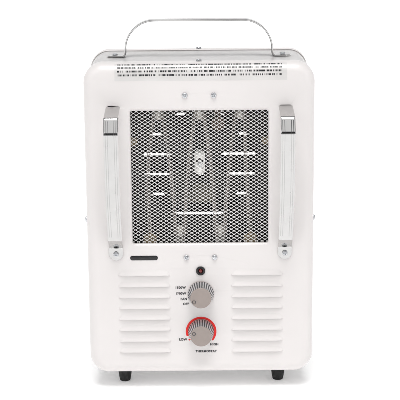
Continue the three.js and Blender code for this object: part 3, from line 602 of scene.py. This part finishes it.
def cabinet_wrap():
    skin = Skin()
    steps = 6
    outline = rounded_loop(wrap_high.x, (wrap_high.z - wrap_low.z) / 2, WRAP_CORNER, CASE_MID, 14)
    depths = [wrap_low.y + (wrap_high.y - wrap_low.y) * i / steps for i in range(steps + 1)]
    skin.loft([at_depth(outline, y) for y in depths])
    # Its inside is painted near black as painted shade.
    add_piece("wrap_sheet", skin, GREY, ["cabinet_wrap"], facing=(0, 0, 1),
              thickness=WRAP_SHEET, inside=DARK_STEEL)


# ------------------------------ expanded-metal grille


def diamond(skin, x, z, hole_x, hole_z):
    """The metal round one opening of the lattice: its outer points meet those of its neighbours."""
    outer, inner = [], []
    for u, v in circle(0, 0, 1, 8):
        reach = 1 / (abs(u) + abs(v))
        full = reach ** HOLE_ROUNDING
        outer.append(Vector((x + u * reach * DIAMOND_X / 2, 0, z + v * reach * DIAMOND_Z / 2)))
        inner.append(Vector((x + u * full * hole_x, STRAND_TILT * v, z + v * full * hole_z)))
    skin.bridge(skin.ring(outer), skin.ring(inner))


def grille():
    """Expanded metal: a lattice of diamonds whose knuckles tip forwards, inside a plain rim."""
    low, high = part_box("grille")
    centre = (low + high) / 2
    half_x, half_z = (high.x - low.x) / 2, (high.z - low.z) / 2
    slant = math.atan2(DIAMOND_Z, DIAMOND_X)
    hole_x = DIAMOND_X / 2 - STRAND_HALF / math.sin(slant) * KNUCKLE_WIDEN
    hole_z = DIAMOND_Z / 2 - STRAND_HALF / math.cos(slant)
    skin = Skin()
    columns = int(2 * half_x / DIAMOND_X) + 1
    rows = int(2 * half_z / DIAMOND_Z) + 1
    for row in range(-rows, rows + 1):
        for column in range(-columns, columns + 1):
            x = column * DIAMOND_X + (row % 2) * DIAMOND_X / 2
            z = row * DIAMOND_Z / 2
            if abs(x) + DIAMOND_X / 2 <= half_x and abs(z) + DIAMOND_Z / 2 <= half_z:
                diamond(skin, x, z, hole_x, hole_z)
    rim = []
    for inset in (0, GRILLE_RIM):
        corner = max(2 * MM - inset, 0.2 * MM)
        rim.append(skin.ring(at_depth(rounded_loop(half_x - inset, half_z - inset, corner, 0, 4), 0)))
    skin.bridge(*rim)
    shift = Vector((0, centre.y - STRAND_THICK / 2, centre.z))
    skin.points = [point + shift for point in skin.points]
    add_piece("expanded_mesh", skin, MESH, ["grille"], facing=(0, -1, 0), crease=40,
              thickness=STRAND_THICK)


# ------------------------------ chrome straps


def guard_line():
    """The strap's middle line seen from the side, (y, z), from the panel slot down to its rounded foot."""
    face = FRONT - 0.3 * MM - GUARD_THICK / 2
    corners = [
        (face, GUARD_SLOT_Z, 0),
        (FRONT - 43 * MM, GUARD_SLOT_Z - 5 * MM, 4 * MM),
        (FRONT - 52 * MM, GUARD_SLOT_Z - 21 * MM, 9 * MM),
        (FRONT - 41 * MM, GUARD_SLOT_Z - 92 * MM, 110 * MM),
        (FRONT - 14 * MM, 180.5 * MM, 4 * MM),
        (face, 168.4 * MM, 3 * MM),
        (face, guard_low.z, 0),
    ]
    return resampled(smooth_corner(corners), 1.5 * MM)


def rib(across):
    """Height of the two lengthwise ribs, 0 to 1, at a place across the strap from -1 to 1."""
    return max(0.0, 1 - ((abs(across) - RIB_PLACE) / RIB_HALF) ** 2)


def strap(line, run, half_width, thick, to_world, rib_span=None, rounded_ends=(False, True), rib_rise=0.0):
    """A strap swept along a line, with rounded long edges, optional ribs and optional rounded ends."""
    total = run[-1]
    rib_fade = 4 * MM
    half = [0.2, 0.42, 0.5, 0.6, 0.7, 0.78, 0.88, 0.96, 1]
    across = [-place for place in reversed(half)] + [0] + half
    rings = []
    for i, point in enumerate(line):
        ahead = line[min(i + 1, len(line) - 1)] - line[max(i - 1, 0)]
        normal = Vector((-ahead.y, ahead.x)).normalized()
        width = half_width
        for rounded, distance in zip(rounded_ends, (run[i], total - run[i])):
            if rounded and distance < half_width:
                chord = half_width ** 2 - (half_width - distance) ** 2
                width = math.sqrt(max((0.02 * half_width) ** 2, chord))
        ribbed = 0.0
        if rib_span:
            ribbed = max(0.0, min(1.0, (run[i] - rib_span[0]) / rib_fade, (rib_span[1] - run[i]) / rib_fade))
        outer, inner = [], []
        for place in across:
            edge = 1 - 0.55 * max(0.0, (abs(place) - EDGE_FROM) / (1 - EDGE_FROM)) ** 2
            lift = thick / 2 * edge + rib_rise * rib(place) * ribbed - rib_rise
            outer.append(to_world(point + normal * lift, place * width))
            inner.append(to_world(point - normal * thick / 2 * edge, place * width))
        rings.append(outer + inner[::-1])
    skin = Skin()
    made = skin.loft(rings)
    skin.cap(made[0])
    skin.cap(made[-1][::-1])
    return skin


def guards():
    """Two bent straps in front of the grille, each with a narrow tongue through its slot in the panel."""
    line, run = guard_line()
    for side in SIDES:
        x = middle(f"guard_{side}").x
        skin = strap(line, run, GUARD_HALF, GUARD_THICK, lambda p, a, x=x: Vector((x + a, p.x, p.y)),
                     rib_span=(RIB_START, RIB_START + RIB_LENGTH), rib_rise=RIB_RISE)
        low = (x - TONGUE_HALF, FRONT + TONGUE_FROM, GUARD_SLOT_Z - GUARD_THICK / 2)
        high = (x + TONGUE_HALF, FRONT + TONGUE_TO, GUARD_SLOT_Z + GUARD_THICK / 2 - TONGUE_THIN)
        add_box(skin, low, high)
        piece = add_piece(f"guard_strap_{side}", skin, CHROME, [f"guard_{side}"], crease=40)
        paint_crease_shade(piece, x)


def paint_crease_shade(piece, x):
    """Painted shade in the creases beside a guard's ribs: dimmer chrome down its front, dark chrome where it
    bends away from the shelf.
    """
    dim_shade, dark = 1, 2
    piece.data.materials.append(CHROME_CREASE_SHADE)
    piece.data.materials.append(CHROME_PAINTED_SHADE)
    for face in piece.data.polygons:
        across = abs(face.center.x - x) / GUARD_HALF
        in_crease = any(low < across < high for low, high in CREASES)
        if in_crease and face.normal.y < -0.3 and CREASE_LOW < face.center.z < CREASE_HIGH:
            face.material_index = dim_shade if face.center.z < CREASE_BEND else dark


def add_box(skin, low, high):
    (x0, y0, z0), (x1, y1, z1) = low, high
    plan = ((x0, y0), (x1, y0), (x1, y1), (x0, y1))
    made = skin.loft([[Vector((x, y, z)) for x, y in plan] for z in (z0, z1)])
    skin.cap(made[0][::-1])
    skin.cap(made[1])


def carry_handle():
    """A flat strap bent into a handle; its inner side is painted dark as painted shade."""
    low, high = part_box("carry_handle")
    y = (low.y + high.y) / 2
    foot_z, top_z = low.z + HANDLE_THICK / 2, high.z - HANDLE_THICK / 2
    half = [(HANDLE_LEG, top_z, HANDLE_BEND), (HANDLE_LEG, foot_z, 4 * MM), (high.x, foot_z, 0)]
    corners = [(-x, z, radius) for x, z, radius in reversed(half)] + half
    line, run = resampled(smooth_corner(corners, 14), 2 * MM)
    skin = strap(line, run, (high.y - low.y) / 2, HANDLE_THICK, lambda p, a: Vector((p.x, y + a, p.y)),
                 rounded_ends=(True, True))
    piece = add_piece("handle_strap", skin, CHROME, ["carry_handle"], crease=40)
    piece.data.materials.append(CHROME_PAINTED_SHADE)
    # Painted shade: faces turned towards the inside of the arch take the dark chrome.
    for face in piece.data.polygons:
        inwards = Vector((-face.center.x, 0, foot_z - face.center.z))
        if face.normal.dot(inwards) > 10 * MM:
            face.material_index = 1


# ------------------------------ fasteners and feet


def cross_recess(u, v):
    """Depth of a Phillips recess, 0 to 1, at a place on the head: the arms' floor and their sloping walls."""
    arm_half, arm_slope, arm_reach, tip_slope = 0.62 * MM, 0.25 * MM, 1.85 * MM, 0.35 * MM
    beside = (arm_half - min(abs(u), abs(v))) / arm_slope
    along = (arm_reach - max(abs(u), abs(v))) / tip_slope
    return min(1.0, max(0.0, beside)) * min(1.0, max(0.0, along))


def phillips_head():
    """A pan-head screw pointing up, its head's underside at height 0, with a cross recess."""
    sides, steps, recess, rim = 48, 11, 1.1 * MM, 0.42
    shank = [(0.3 * SCREW_SHANK, -9 * MM), (SCREW_SHANK, -8.2 * MM), (SCREW_SHANK, 0), (SCREW_HEAD, 0)]
    rings = []
    for radius, height in shank:
        rings.append([Vector((u, v, height)) for u, v in circle(0, 0, radius, sides)])
    for step in range(steps):
        t = 1 - step / steps
        height = SCREW_HEAD_TALL * (rim + (1 - rim) * math.sqrt(max(0.0, 1 - t ** 2.6)))
        loop = circle(0, 0, SCREW_HEAD * t, sides)
        rings.append([Vector((u, v, height - cross_recess(u, v) * recess)) for u, v in loop])
    skin = Skin()
    made = skin.loft(rings)
    skin.cap(made[0])
    skin.cap(made[-1])
    return skin


def screws():
    """A screw at each screw node, its head standing on the surface, each turned to an angle of its own."""
    pattern = phillips_head()
    for i, node in enumerate(sorted(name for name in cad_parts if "_screw_" in name)):
        low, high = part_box(node)
        seat = (low + high) / 2
        if node.startswith(("guard_screw", "panel_screw")):
            direction = Vector((0, -1, 0))
            seat.y = low.y + SCREW_HEAD_TALL
        elif node.endswith("_top") or node.startswith("handle_screw"):
            direction = Vector((0, 0, 1))
            seat.z = high.z - SCREW_HEAD_TALL
        else:
            side = math.copysign(1, seat.x)
            direction = Vector((side, 0, 0))
            seat.x = (high.x if side > 0 else low.x) - side * SCREW_HEAD_TALL
        spin = Matrix.Rotation(0.5 + 1.1 * i, 3, "Z")
        turn = Vector((0, 0, 1)).rotation_difference(direction).to_matrix() @ spin
        skin = Skin()
        skin.faces = list(pattern.faces)
        skin.points = [seat + turn @ point for point in pattern.points]
        add_piece(f"{node}_piece", skin, ZINC, [node], crease=50)


def feet():
    """Rubber feet, rounded where they stand, wider upwards, each with a plug that goes into the casing."""
    top = 20.2
    profile = [(0, 0), (4.2, 0), (4.6, 0.25), (5.2, 0.25), (5.9, 0.6), (6.3, 1.4), (7.1, 6), (8.0, 13),
               (8.1, top - 1.2), (8.2, top - 0.6), (8.2, top), (4, top), (4, top + 4), (0, top + 4.4)]
    for node in (f"foot_{depth}_{side}" for depth in ("front", "back") for side in SIDES):
        at = middle(node)
        skin = turned(profile, 40, (at.x, at.y, 0), (0, 0, 1))
        add_piece(f"rubber_{node}", skin, RUBBER, [node])


# ------------------------------ controls


def flute(angle, height):
    """What the grooves take off a knob's radius, in millimetres; they fade out at both ends of its side."""
    span = max(0.0, min(1.0, (height - KNOB_SIDE_LOW - 0.4) / FLUTE_FADE, KNOB_SIDE_HIGH - height))
    groove = max(0.0, FLUTE_WIDEN + math.cos(angle * FLUTES)) / (1 + FLUTE_WIDEN)
    return -FLUTE_DEPTH * math.sqrt(groove) * span


def paint_knob(piece, at, dot):
    """Flutes painted dark as painted shade, a dark ring dot, pale ridges."""
    dark, pale = 1, 2
    mesh = piece.data
    mesh.materials.append(GROOVE_SHADE_AND_DOT)
    mesh.materials.append(KNOB_RIDGE)
    for face in mesh.polygons:
        x, y, z = face.center - Vector((at.x, FRONT, at.z))
        height, radius = -y / MM, math.hypot(x, z) / MM
        if height > KNOB_TOP + 0.05 and (face.center - dot).length < 3 * MM:
            face.material_index = dark
        elif KNOB_SIDE_LOW + 0.2 < height < KNOB_SIDE_HIGH + 0.1 and radius > KNOB_FACE - 1.5:
            # The grooves take the dark material as painted shade; the ridges keep a pale silver.
            in_groove = math.cos(math.atan2(-z, x) * FLUTES) > 0.15
            face.material_index = dark if in_groove else pale


def knob(name, at, rest_angle, body):
    """A fluted knob; rest_angle is where its ring dot stands, in degrees counterclockwise from +x."""
    steps = 14
    low, high = Vector((KNOB_BASE, KNOB_SIDE_LOW)), Vector((KNOB_FACE, KNOB_SIDE_HIGH))
    side = [tuple(low.lerp(high, step / steps)) for step in range(1, steps + 1)]
    hollow = [(0, 13), (3.4, 13), (3.4, 6.2), (KNOB_BASE - 3.6, 6.2), (KNOB_BASE - 2.6, KNOB_FOOT)]
    skirt = [(KNOB_BASE - 0.2, KNOB_FOOT), (KNOB_BASE, 1.1), (KNOB_BASE, 2.4)]
    face = [(KNOB_FACE - 0.1, KNOB_TOP - 0.45), (KNOB_FACE - 0.5, KNOB_TOP - 0.1),
            (KNOB_FACE - 1.1, KNOB_TOP), (9.5, KNOB_TOP), (5, KNOB_TOP), (0, KNOB_TOP)]
    origin = Vector((at.x, FRONT, at.z))
    skin = turned(hollow + skirt + side + face, FLUTES * 8, origin, (0, -1, 0), flute)
    angle = math.radians(rest_angle)
    dot = origin + Vector((DOT_PLACE * math.cos(angle), -KNOB_TOP, DOT_PLACE * math.sin(angle))) * MM
    ring = [(1.5, -0.4), (1.55, 0.35), (1.7, 0.5), (2.0, 0.5), (2.15, 0.35), (2.2, -0.4), (1.5, -0.4)]
    skin.join(turned(ring, 40, dot, (0, -1, 0)))
    piece = add_piece(f"{name}_grip", skin, KNOB, [f"{name}_knob"], body=body, crease=50)
    paint_knob(piece, at, dot)


def pilot_lamp():
    origin = Vector((PILOT.x, FRONT, PILOT.z))
    bezel = [(2.4, -12), (3.9, -12), (3.9, 0.3), (5.0, 0.3), (5.2, 0.6), (5.2, 1.1), (4.7, 1.75),
             (4.1, 2.0), (3.2, 1.9), (2.6, 1.4), (2.4, 1.0), (2.4, -12)]
    skin = turned(bezel, 48, origin, (0, -1, 0))
    add_piece("pilot_ring", skin, BLACK, ["pilot_bezel"])
    lens = [(0, -9), (2.1, -9), (2.1, 1.3), (1.95, 1.9), (1.5, 2.45), (0.8, 2.8), (0, 2.9)]
    skin = turned(lens, 32, origin, (0, -1, 0))
    add_piece("pilot_dome", skin, LENS, ["pilot_lens"], crease=60)


def cord_gland():
    at = middle("cord_gland")
    profile = [(4.2, -9), (7.7, -9), (7.7, 0.3), (10.2, 0.3), (10.5, 0.6), (10.4, 1.6), (9.6, 2.4),
               (8.5, 2.8), (6.0, 3.0), (4.8, 2.8), (4.3, 2.2), (4.2, -9)]
    skin = turned(profile, 48, (at.x, BACK, at.z), (0, 1, 0))
    add_piece("gland_bush", skin, BLACK, ["cord_gland"])


# ------------------------------ printing on the panel


def legend(name, words, x, z, size):
    """Printed lettering, a hair proud of the panel; x, z and size in millimetres."""
    text = bpy.data.curves.new(name, "FONT")
    text.body = words
    text.size = size * MM
    text.align_x = "CENTER"
    text.align_y = "CENTER"
    text.extrude = 0.03 * MM
    text.offset = 0.21 * MM
    text.space_character = 1.12
    piece = add_object(name, text, BLACK_INK)
    place = Matrix.Translation((x * MM, FRONT - 0.08 * MM, z * MM))
    piece.matrix_world = place @ Matrix.Rotation(TAU / 4, 4, "X")


def arc_mark(name, centre, inner, outer, start, end):
    """A flat printed arc on the panel: radii in millimetres, angles in degrees counterclockwise from +x."""
    count = max(3, int(abs(end - start) / 3))
    angles = [math.radians(start + (end - start) * i / count) for i in range(count + 1)]
    rows = []
    for radius, proud in ((inner, 0), (inner, 0.1), (outer, 0.1), (outer, 0)):
        reach = radius * MM
        arc = [(centre.x + reach * math.cos(angle), centre.z + reach * math.sin(angle)) for angle in angles]
        rows.append(at_depth(arc, FRONT - proud * MM))
    skin = Skin()
    skin.loft(rows, closed=False)
    add_piece(name, skin, RED_INK)


LEGENDS = (
    ("legend_off", "OFF", -16.8, 102.1, 3.6),
    ("legend_fan", "FAN", -19.2, 107.9, 3.6),
    ("legend_1300", "1300W", -22.6, 114.4, 3.6),
    ("legend_1500", "1500W", -22.9, 121.3, 3.6),
    ("legend_low", "LOW", -20.6, 60.0, 3.6),
    ("legend_high", "HIGH", 14.8, 54.0, 3.6),
    ("legend_thermostat", "THERMOSTAT", 5.6, 45.8, 3.45),
)


def panel_label():
    """A thin film that starts on the flat face and wraps onto the rounded top edge."""
    half, lift, shift = 94 * MM, 0.12 * MM, 2 * MM
    wrap_angle, steps = math.radians(66), 8
    flat_from, flat_to = 356 * MM, CASE_HIGH - FRONT_FILLET
    reach = FRONT_FILLET + lift
    profile = [(FRONT - lift, flat_from), (FRONT - lift, flat_to)]
    for step in range(1, steps + 1):
        angle = wrap_angle * step / steps
        profile.append((FRONT + FRONT_FILLET - reach * math.cos(angle), flat_to + reach * math.sin(angle)))
    run = [0.0]
    for first, second in zip(profile, profile[1:]):
        run.append(run[-1] + math.dist(first, second))
    skin = Skin()
    edges = (shift - half, shift + half)
    skin.loft([[Vector((x, y, z)) for x in edges] for y, z in profile], closed=False)
    film = add_piece("blank_label", skin, LABEL, facing=(0, -1, 0), thickness=0.1 * MM)
    uv = film.data.uv_layers.new(name="print")
    for loop in film.data.loops:
        x, y, z = film.data.vertices[loop.vertex_index].co
        nearest = min(range(len(profile)), key=lambda i: math.dist(profile[i], (y, z)))
        uv.data[loop.index].uv = ((x - shift + half) / (2 * half), run[nearest] / run[-1])


# ------------------------------ heating element


def coil_route():
    """The coil's middle line (x, z): six bowed strands round the ceramic hooks."""
    tops = [middle(f"insulator_top_{place}").x for place in ("left", "middle", "right")]
    bottoms = [middle(f"insulator_bottom_{place}").x for place in SIDES]
    end_x = middle("coil_terminal_right").x
    end_z, top_z, bottom_z, loop = 177 * MM, 313 * MM, 176 * MM, 4.9 * MM
    hooks = [(tops[0], top_z, 1), (bottoms[0], bottom_z, -1), (tops[1], top_z, 1), (bottoms[1], bottom_z, -1),
             (tops[2], top_z, 1)]
    bows = [-5, 2, -2, 2, -2, -1]
    steps, turn_steps = 40, 12
    route = [Vector((-end_x, end_z))]

    def strand(end, bow):
        start = route[-1].copy()
        for step in range(1, steps):
            point = start.lerp(end, step / steps)
            point.x += bow * MM * math.sin(math.pi * step / steps)
            route.append(point)

    for (x, z, over), bow in zip(hooks, bows):
        angles = [math.pi * (1 - step / turn_steps) for step in range(turn_steps + 1)]
        arc = [Vector((x + loop * math.cos(angle), z + over * loop * math.sin(angle))) for angle in angles]
        strand(arc[0], bow)
        route.extend(arc)
    end = Vector((end_x, end_z))
    strand(end, bows[-1])
    route.append(end)
    return resampled(route, 4 * MM)


def heating_coil():
    """The resistance wire itself, a tight helix along the route."""
    line, run = coil_route()
    y = middle("heating_coil").y
    pitch, radius, wire, per_turn = 1.55 * MM, 2.1 * MM, 0.36 * MM, 10
    turns = int(run[-1] / pitch)
    curve = bpy.data.curves.new("coil_wire", "CURVE")
    curve.dimensions = "3D"
    curve.bevel_depth = wire
    curve.bevel_resolution = 1
    spline = curve.splines.new("POLY")
    spline.points.add(turns * per_turn)
    segment = 0
    for i in range(turns * per_turn + 1):
        at = run[-1] * i / (turns * per_turn)
        while segment < len(run) - 2 and run[segment + 1] < at:
            segment += 1
        first, second = line[segment], line[segment + 1]
        t = (at - run[segment]) / (run[segment + 1] - run[segment])
        along = (second - first).normalized()
        centre = first.lerp(second, t)
        angle = TAU * i / per_turn
        side = Vector((-along.y, along.x)) * radius * math.cos(angle)
        spline.points[i].co = (centre.x + side.x, y + radius * math.sin(angle), centre.y + side.y, 1)
    add_object("coil_wire", curve, WIRE, ["heating_coil"])


def hub_clip():
    """The bright spring plate that holds the fan on its shaft: a pressed ring painted dark as painted shade,
    and a raised centre.
    """
    y = middle("fan").y - 8.3 * MM
    plate_z, ring_z = FAN_Z + 2 * MM, FAN_Z + 3 * MM
    outer, inner, deep, raised = 4.2 * MM, 2.2 * MM, 0.8 * MM, -0.6 * MM
    front = rounded_loop(6.5 * MM, 15 * MM, 6.4 * MM, plate_z, 8)
    edge = [(x * 0.9, FAN_Z + (z - FAN_Z) * 0.95) for x, z in front]
    skin = Skin()
    made = skin.loft([at_depth(front, y + 1.2 * MM), at_depth(front, y + 0.4 * MM), at_depth(edge, y)])
    skin.cap(made[0])
    groove = skin.loft([at_depth(circle(0, ring_z, radius), y + depth)
                        for radius, depth in ((outer, 0), (outer, deep), (inner, deep), (inner, raised))])
    skin.fill(made[-1], [groove[0]])
    skin.cap(groove[-1])
    piece = add_piece("fan_hub_clip", skin, BRIGHT_HUB, body="fan_rotor")
    piece.data.materials.append(GROOVE_SHADE_AND_DOT)
    # The floor of the pressed ring is painted dark as painted shade.
    for face in piece.data.polygons:
        in_ring = math.hypot(face.center.x, face.center.z - ring_z) < outer + 0.1 * MM
        if in_ring and 0.5 * MM < face.center.y - y < 1.1 * MM:
            face.material_index = 1


def duct_standoffs():
    """A small fired-clay spacer on each side wall of the duct."""
    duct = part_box("element_duct")[1]
    profile = [(0, 0), (5.2, 0), (5.2, 3), (4.6, 3.6), (4.6, 6.4), (5.0, 7), (4.4, 8.4), (2.0, 8.8), (0, 8.8)]
    for side, name in zip((-1, 1), SIDES):
        origin = Vector((side * (duct.x - 1.4 * MM), FRONT + 40 * MM, 282 * MM))
        skin = turned(profile, 28, origin, (-side, 0, 0))
        add_piece(f"duct_spacer_{name}", skin, TAN)


def blank_badge():
    """A small dark nameplate with nothing on it."""
    centre_x, centre_z = -63.3 * MM, 156.3 * MM
    outline = rounded_loop(15.5 * MM, 2.6 * MM, 2.4 * MM, 0, 6)
    rings = []
    for wide, tall, lift in ((1, 1, 0), (1, 1, 0.25 * MM), (0.97, 0.86, 0.45 * MM)):
        loop = [(centre_x + x * wide, centre_z + z * tall) for x, z in outline]
        rings.append(at_depth(loop, FRONT - lift))
    skin = Skin()
    made = skin.loft(rings)
    skin.cap(made[-1])
    add_piece("blank_badge", skin, BLACK)


def carried_nodes():
    """CAD nodes whose own shape shows; each gets its material."""
    groups = (
        (CERAMIC, "insulator_top_left", "insulator_top_middle", "insulator_top_right",
         "insulator_bottom_left", "insulator_bottom_right"),
        (TAN, "coil_terminal_left", "coil_terminal_right"),
        # painted shade: the duct, shroud and motor parts are made near black because the inside is unlit
        (DARK_STEEL, "element_duct", "fan_shroud", "motor_mount", "motor_bearing_front",
         "motor_bearing_back"),
        (ZINC, "motor_shaft", "selector_shaft", "selector_nut", "thermostat_shaft", "thermostat_nut",
         "tilt_weight"),
        (PHENOLIC, "thermal_cutout", "selector_body", "thermostat_body"),
        (CORE, "motor_rotor", "motor_stator"),
        (TAPE, "motor_winding"),
        (BLACK, "tilt_switch"),
        (BLADE, "fan"),
    )
    for material, *nodes in groups:
        for node in nodes:
            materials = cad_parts[node].data.materials
            materials.clear()
            materials.append(material)


# ------------------------------ camera, floor and light


def camera():
    """The photograph's view: from the front, a little above, with a slight roll."""
    down, roll, lens = 13, -0.48, 127.8
    place = Matrix.Translation((0, FRONT - 1.536, 0.5771))
    data = bpy.data.cameras.new("camera")
    data.sensor_width = 36
    data.lens = lens
    data.clip_end = 100
    obj = new_object("camera", data)
    tilt = Matrix.Rotation(math.radians(90 - down), 4, "X") @ Matrix.Rotation(math.radians(roll), 4, "Z")
    obj.matrix_world = place @ tilt
    bpy.context.scene.camera = obj


def pale_surface(name, scale, low, high, roughness, **more):
    """A nearly even light grey, from low to high."""
    n = Nodes(name)
    tone = n.mix(n.ramp(n.noise(scale, 2)), (low, low, low, 1), (high, high, high, 1))
    return n.surface(colour=tone, roughness=roughness, specular=0.2, **more)


def stage_sheet(name, corners, material):
    """One flat sheet of the studio round the heater."""
    mesh = bpy.data.meshes.new(name)
    mesh.from_pydata(corners, [], [(0, 1, 2, 3)])
    mesh.materials.append(material)
    obj = new_object(name, mesh)
    return obj


def upright_sheet(name, half, y, low, high, material):
    return stage_sheet(name, [(-half, y, low), (half, y, low), (half, y, high), (-half, y, high)], material)


def floor():
    """A pale translucent table, lit a little from below so that shadows stay light."""
    material = pale_surface("pale_floor", 1.5, 0.93, 0.96, 0.7, emission=(1, 1, 1, 1), glow=0.2)
    stage_sheet("floor", [(-30, -20, 0), (30, -20, 0), (30, 40, 0), (-30, 40, 0)], material)


def backdrop():
    """A pale wall far behind, out of the front view, for the chrome and the gloss of the paint to mirror."""
    upright_sheet("backdrop", 14, 8, 0, 5, pale_surface("pale_backdrop", 0.8, 0.80, 0.84, 0.8))


def area_light(name, place, target, size, power):
    data = bpy.data.lights.new(name, "AREA")
    data.shape = "RECTANGLE"
    data.size, data.size_y = size
    data.energy = power
    away = Vector(place) - Vector(target)
    obj = new_object(name, data)
    obj.matrix_world = Matrix.Translation(place) @ away.to_track_quat("Z", "Y").to_matrix().to_4x4()


def sunlight(name, tilt, strength, softness):
    """Even light from overhead, tipped towards the front by tilt degrees and spread over softness degrees."""
    data = bpy.data.lights.new(name, "SUN")
    data.energy = strength
    data.angle = math.radians(softness)
    obj = new_object(name, data)
    obj.matrix_world = Matrix.Rotation(math.radians(tilt), 4, "X") @ Matrix.Translation((0, 0, 5))


def dark_card():
    """A dark studio card above and behind the camera, there to be mirrored in the chrome."""
    material = moulded("dark_card", (0.02, 0.02, 0.022), 0.7, 0.9, 40)
    card = upright_sheet("dark_card", 3, FRONT - 3.2, 0.7, 2.0, material)
    card.visible_shadow = False
    card.visible_diffuse = False


def lighting():
    world = bpy.data.worlds.new("studio")
    bpy.context.scene.world = world
    world.use_nodes = True
    world.node_tree.nodes["Background"].inputs["Color"].default_value = (1, 1, 1, 1)
    world.node_tree.nodes["Background"].inputs["Strength"].default_value = 0.40
    target = (0, 0, 0.2)
    sunlight("overhead", 19, 2.15, 30)
    area_light("front_top", (0, -2.2, 2.4), target, (3.0, 1.2), 6)
    area_light("key", (-1.3, -1.7, 1.3), target, (1.2, 1.2), 4)
    area_light("fill", (1.5, -1.5, 1.0), target, (1.2, 1.2), 2.5)


def picture():
    """Plain colours, and a filter and denoiser that keep the fine mesh crisp."""
    bpy.context.scene.view_settings.view_transform = "Standard"
    bpy.context.scene.cycles.filter_width = 0.75
    bpy.context.scene.cycles.denoising_prefilter = "NONE"


camera()
floor()
backdrop()
lighting()
dark_card()
picture()
front_panel()
back_panel()
cabinet_wrap()
grille()
guards()
carry_handle()
screws()
feet()
knob("selector", SELECTOR, 209.5, "selector_dial")
knob("thermostat", THERMOSTAT, 157, "thermostat_dial")
pilot_lamp()
cord_gland()
for entry in LEGENDS:
    legend(*entry)
arc_mark("heat_arc", THERMOSTAT, 14.8, 17.4, -40, 199)
arc_mark("low_tick", THERMOSTAT, 15.0, 17.4, 213, 219)
panel_label()
blank_badge()
heating_coil()
hub_clip()
duct_standoffs()
carried_nodes()
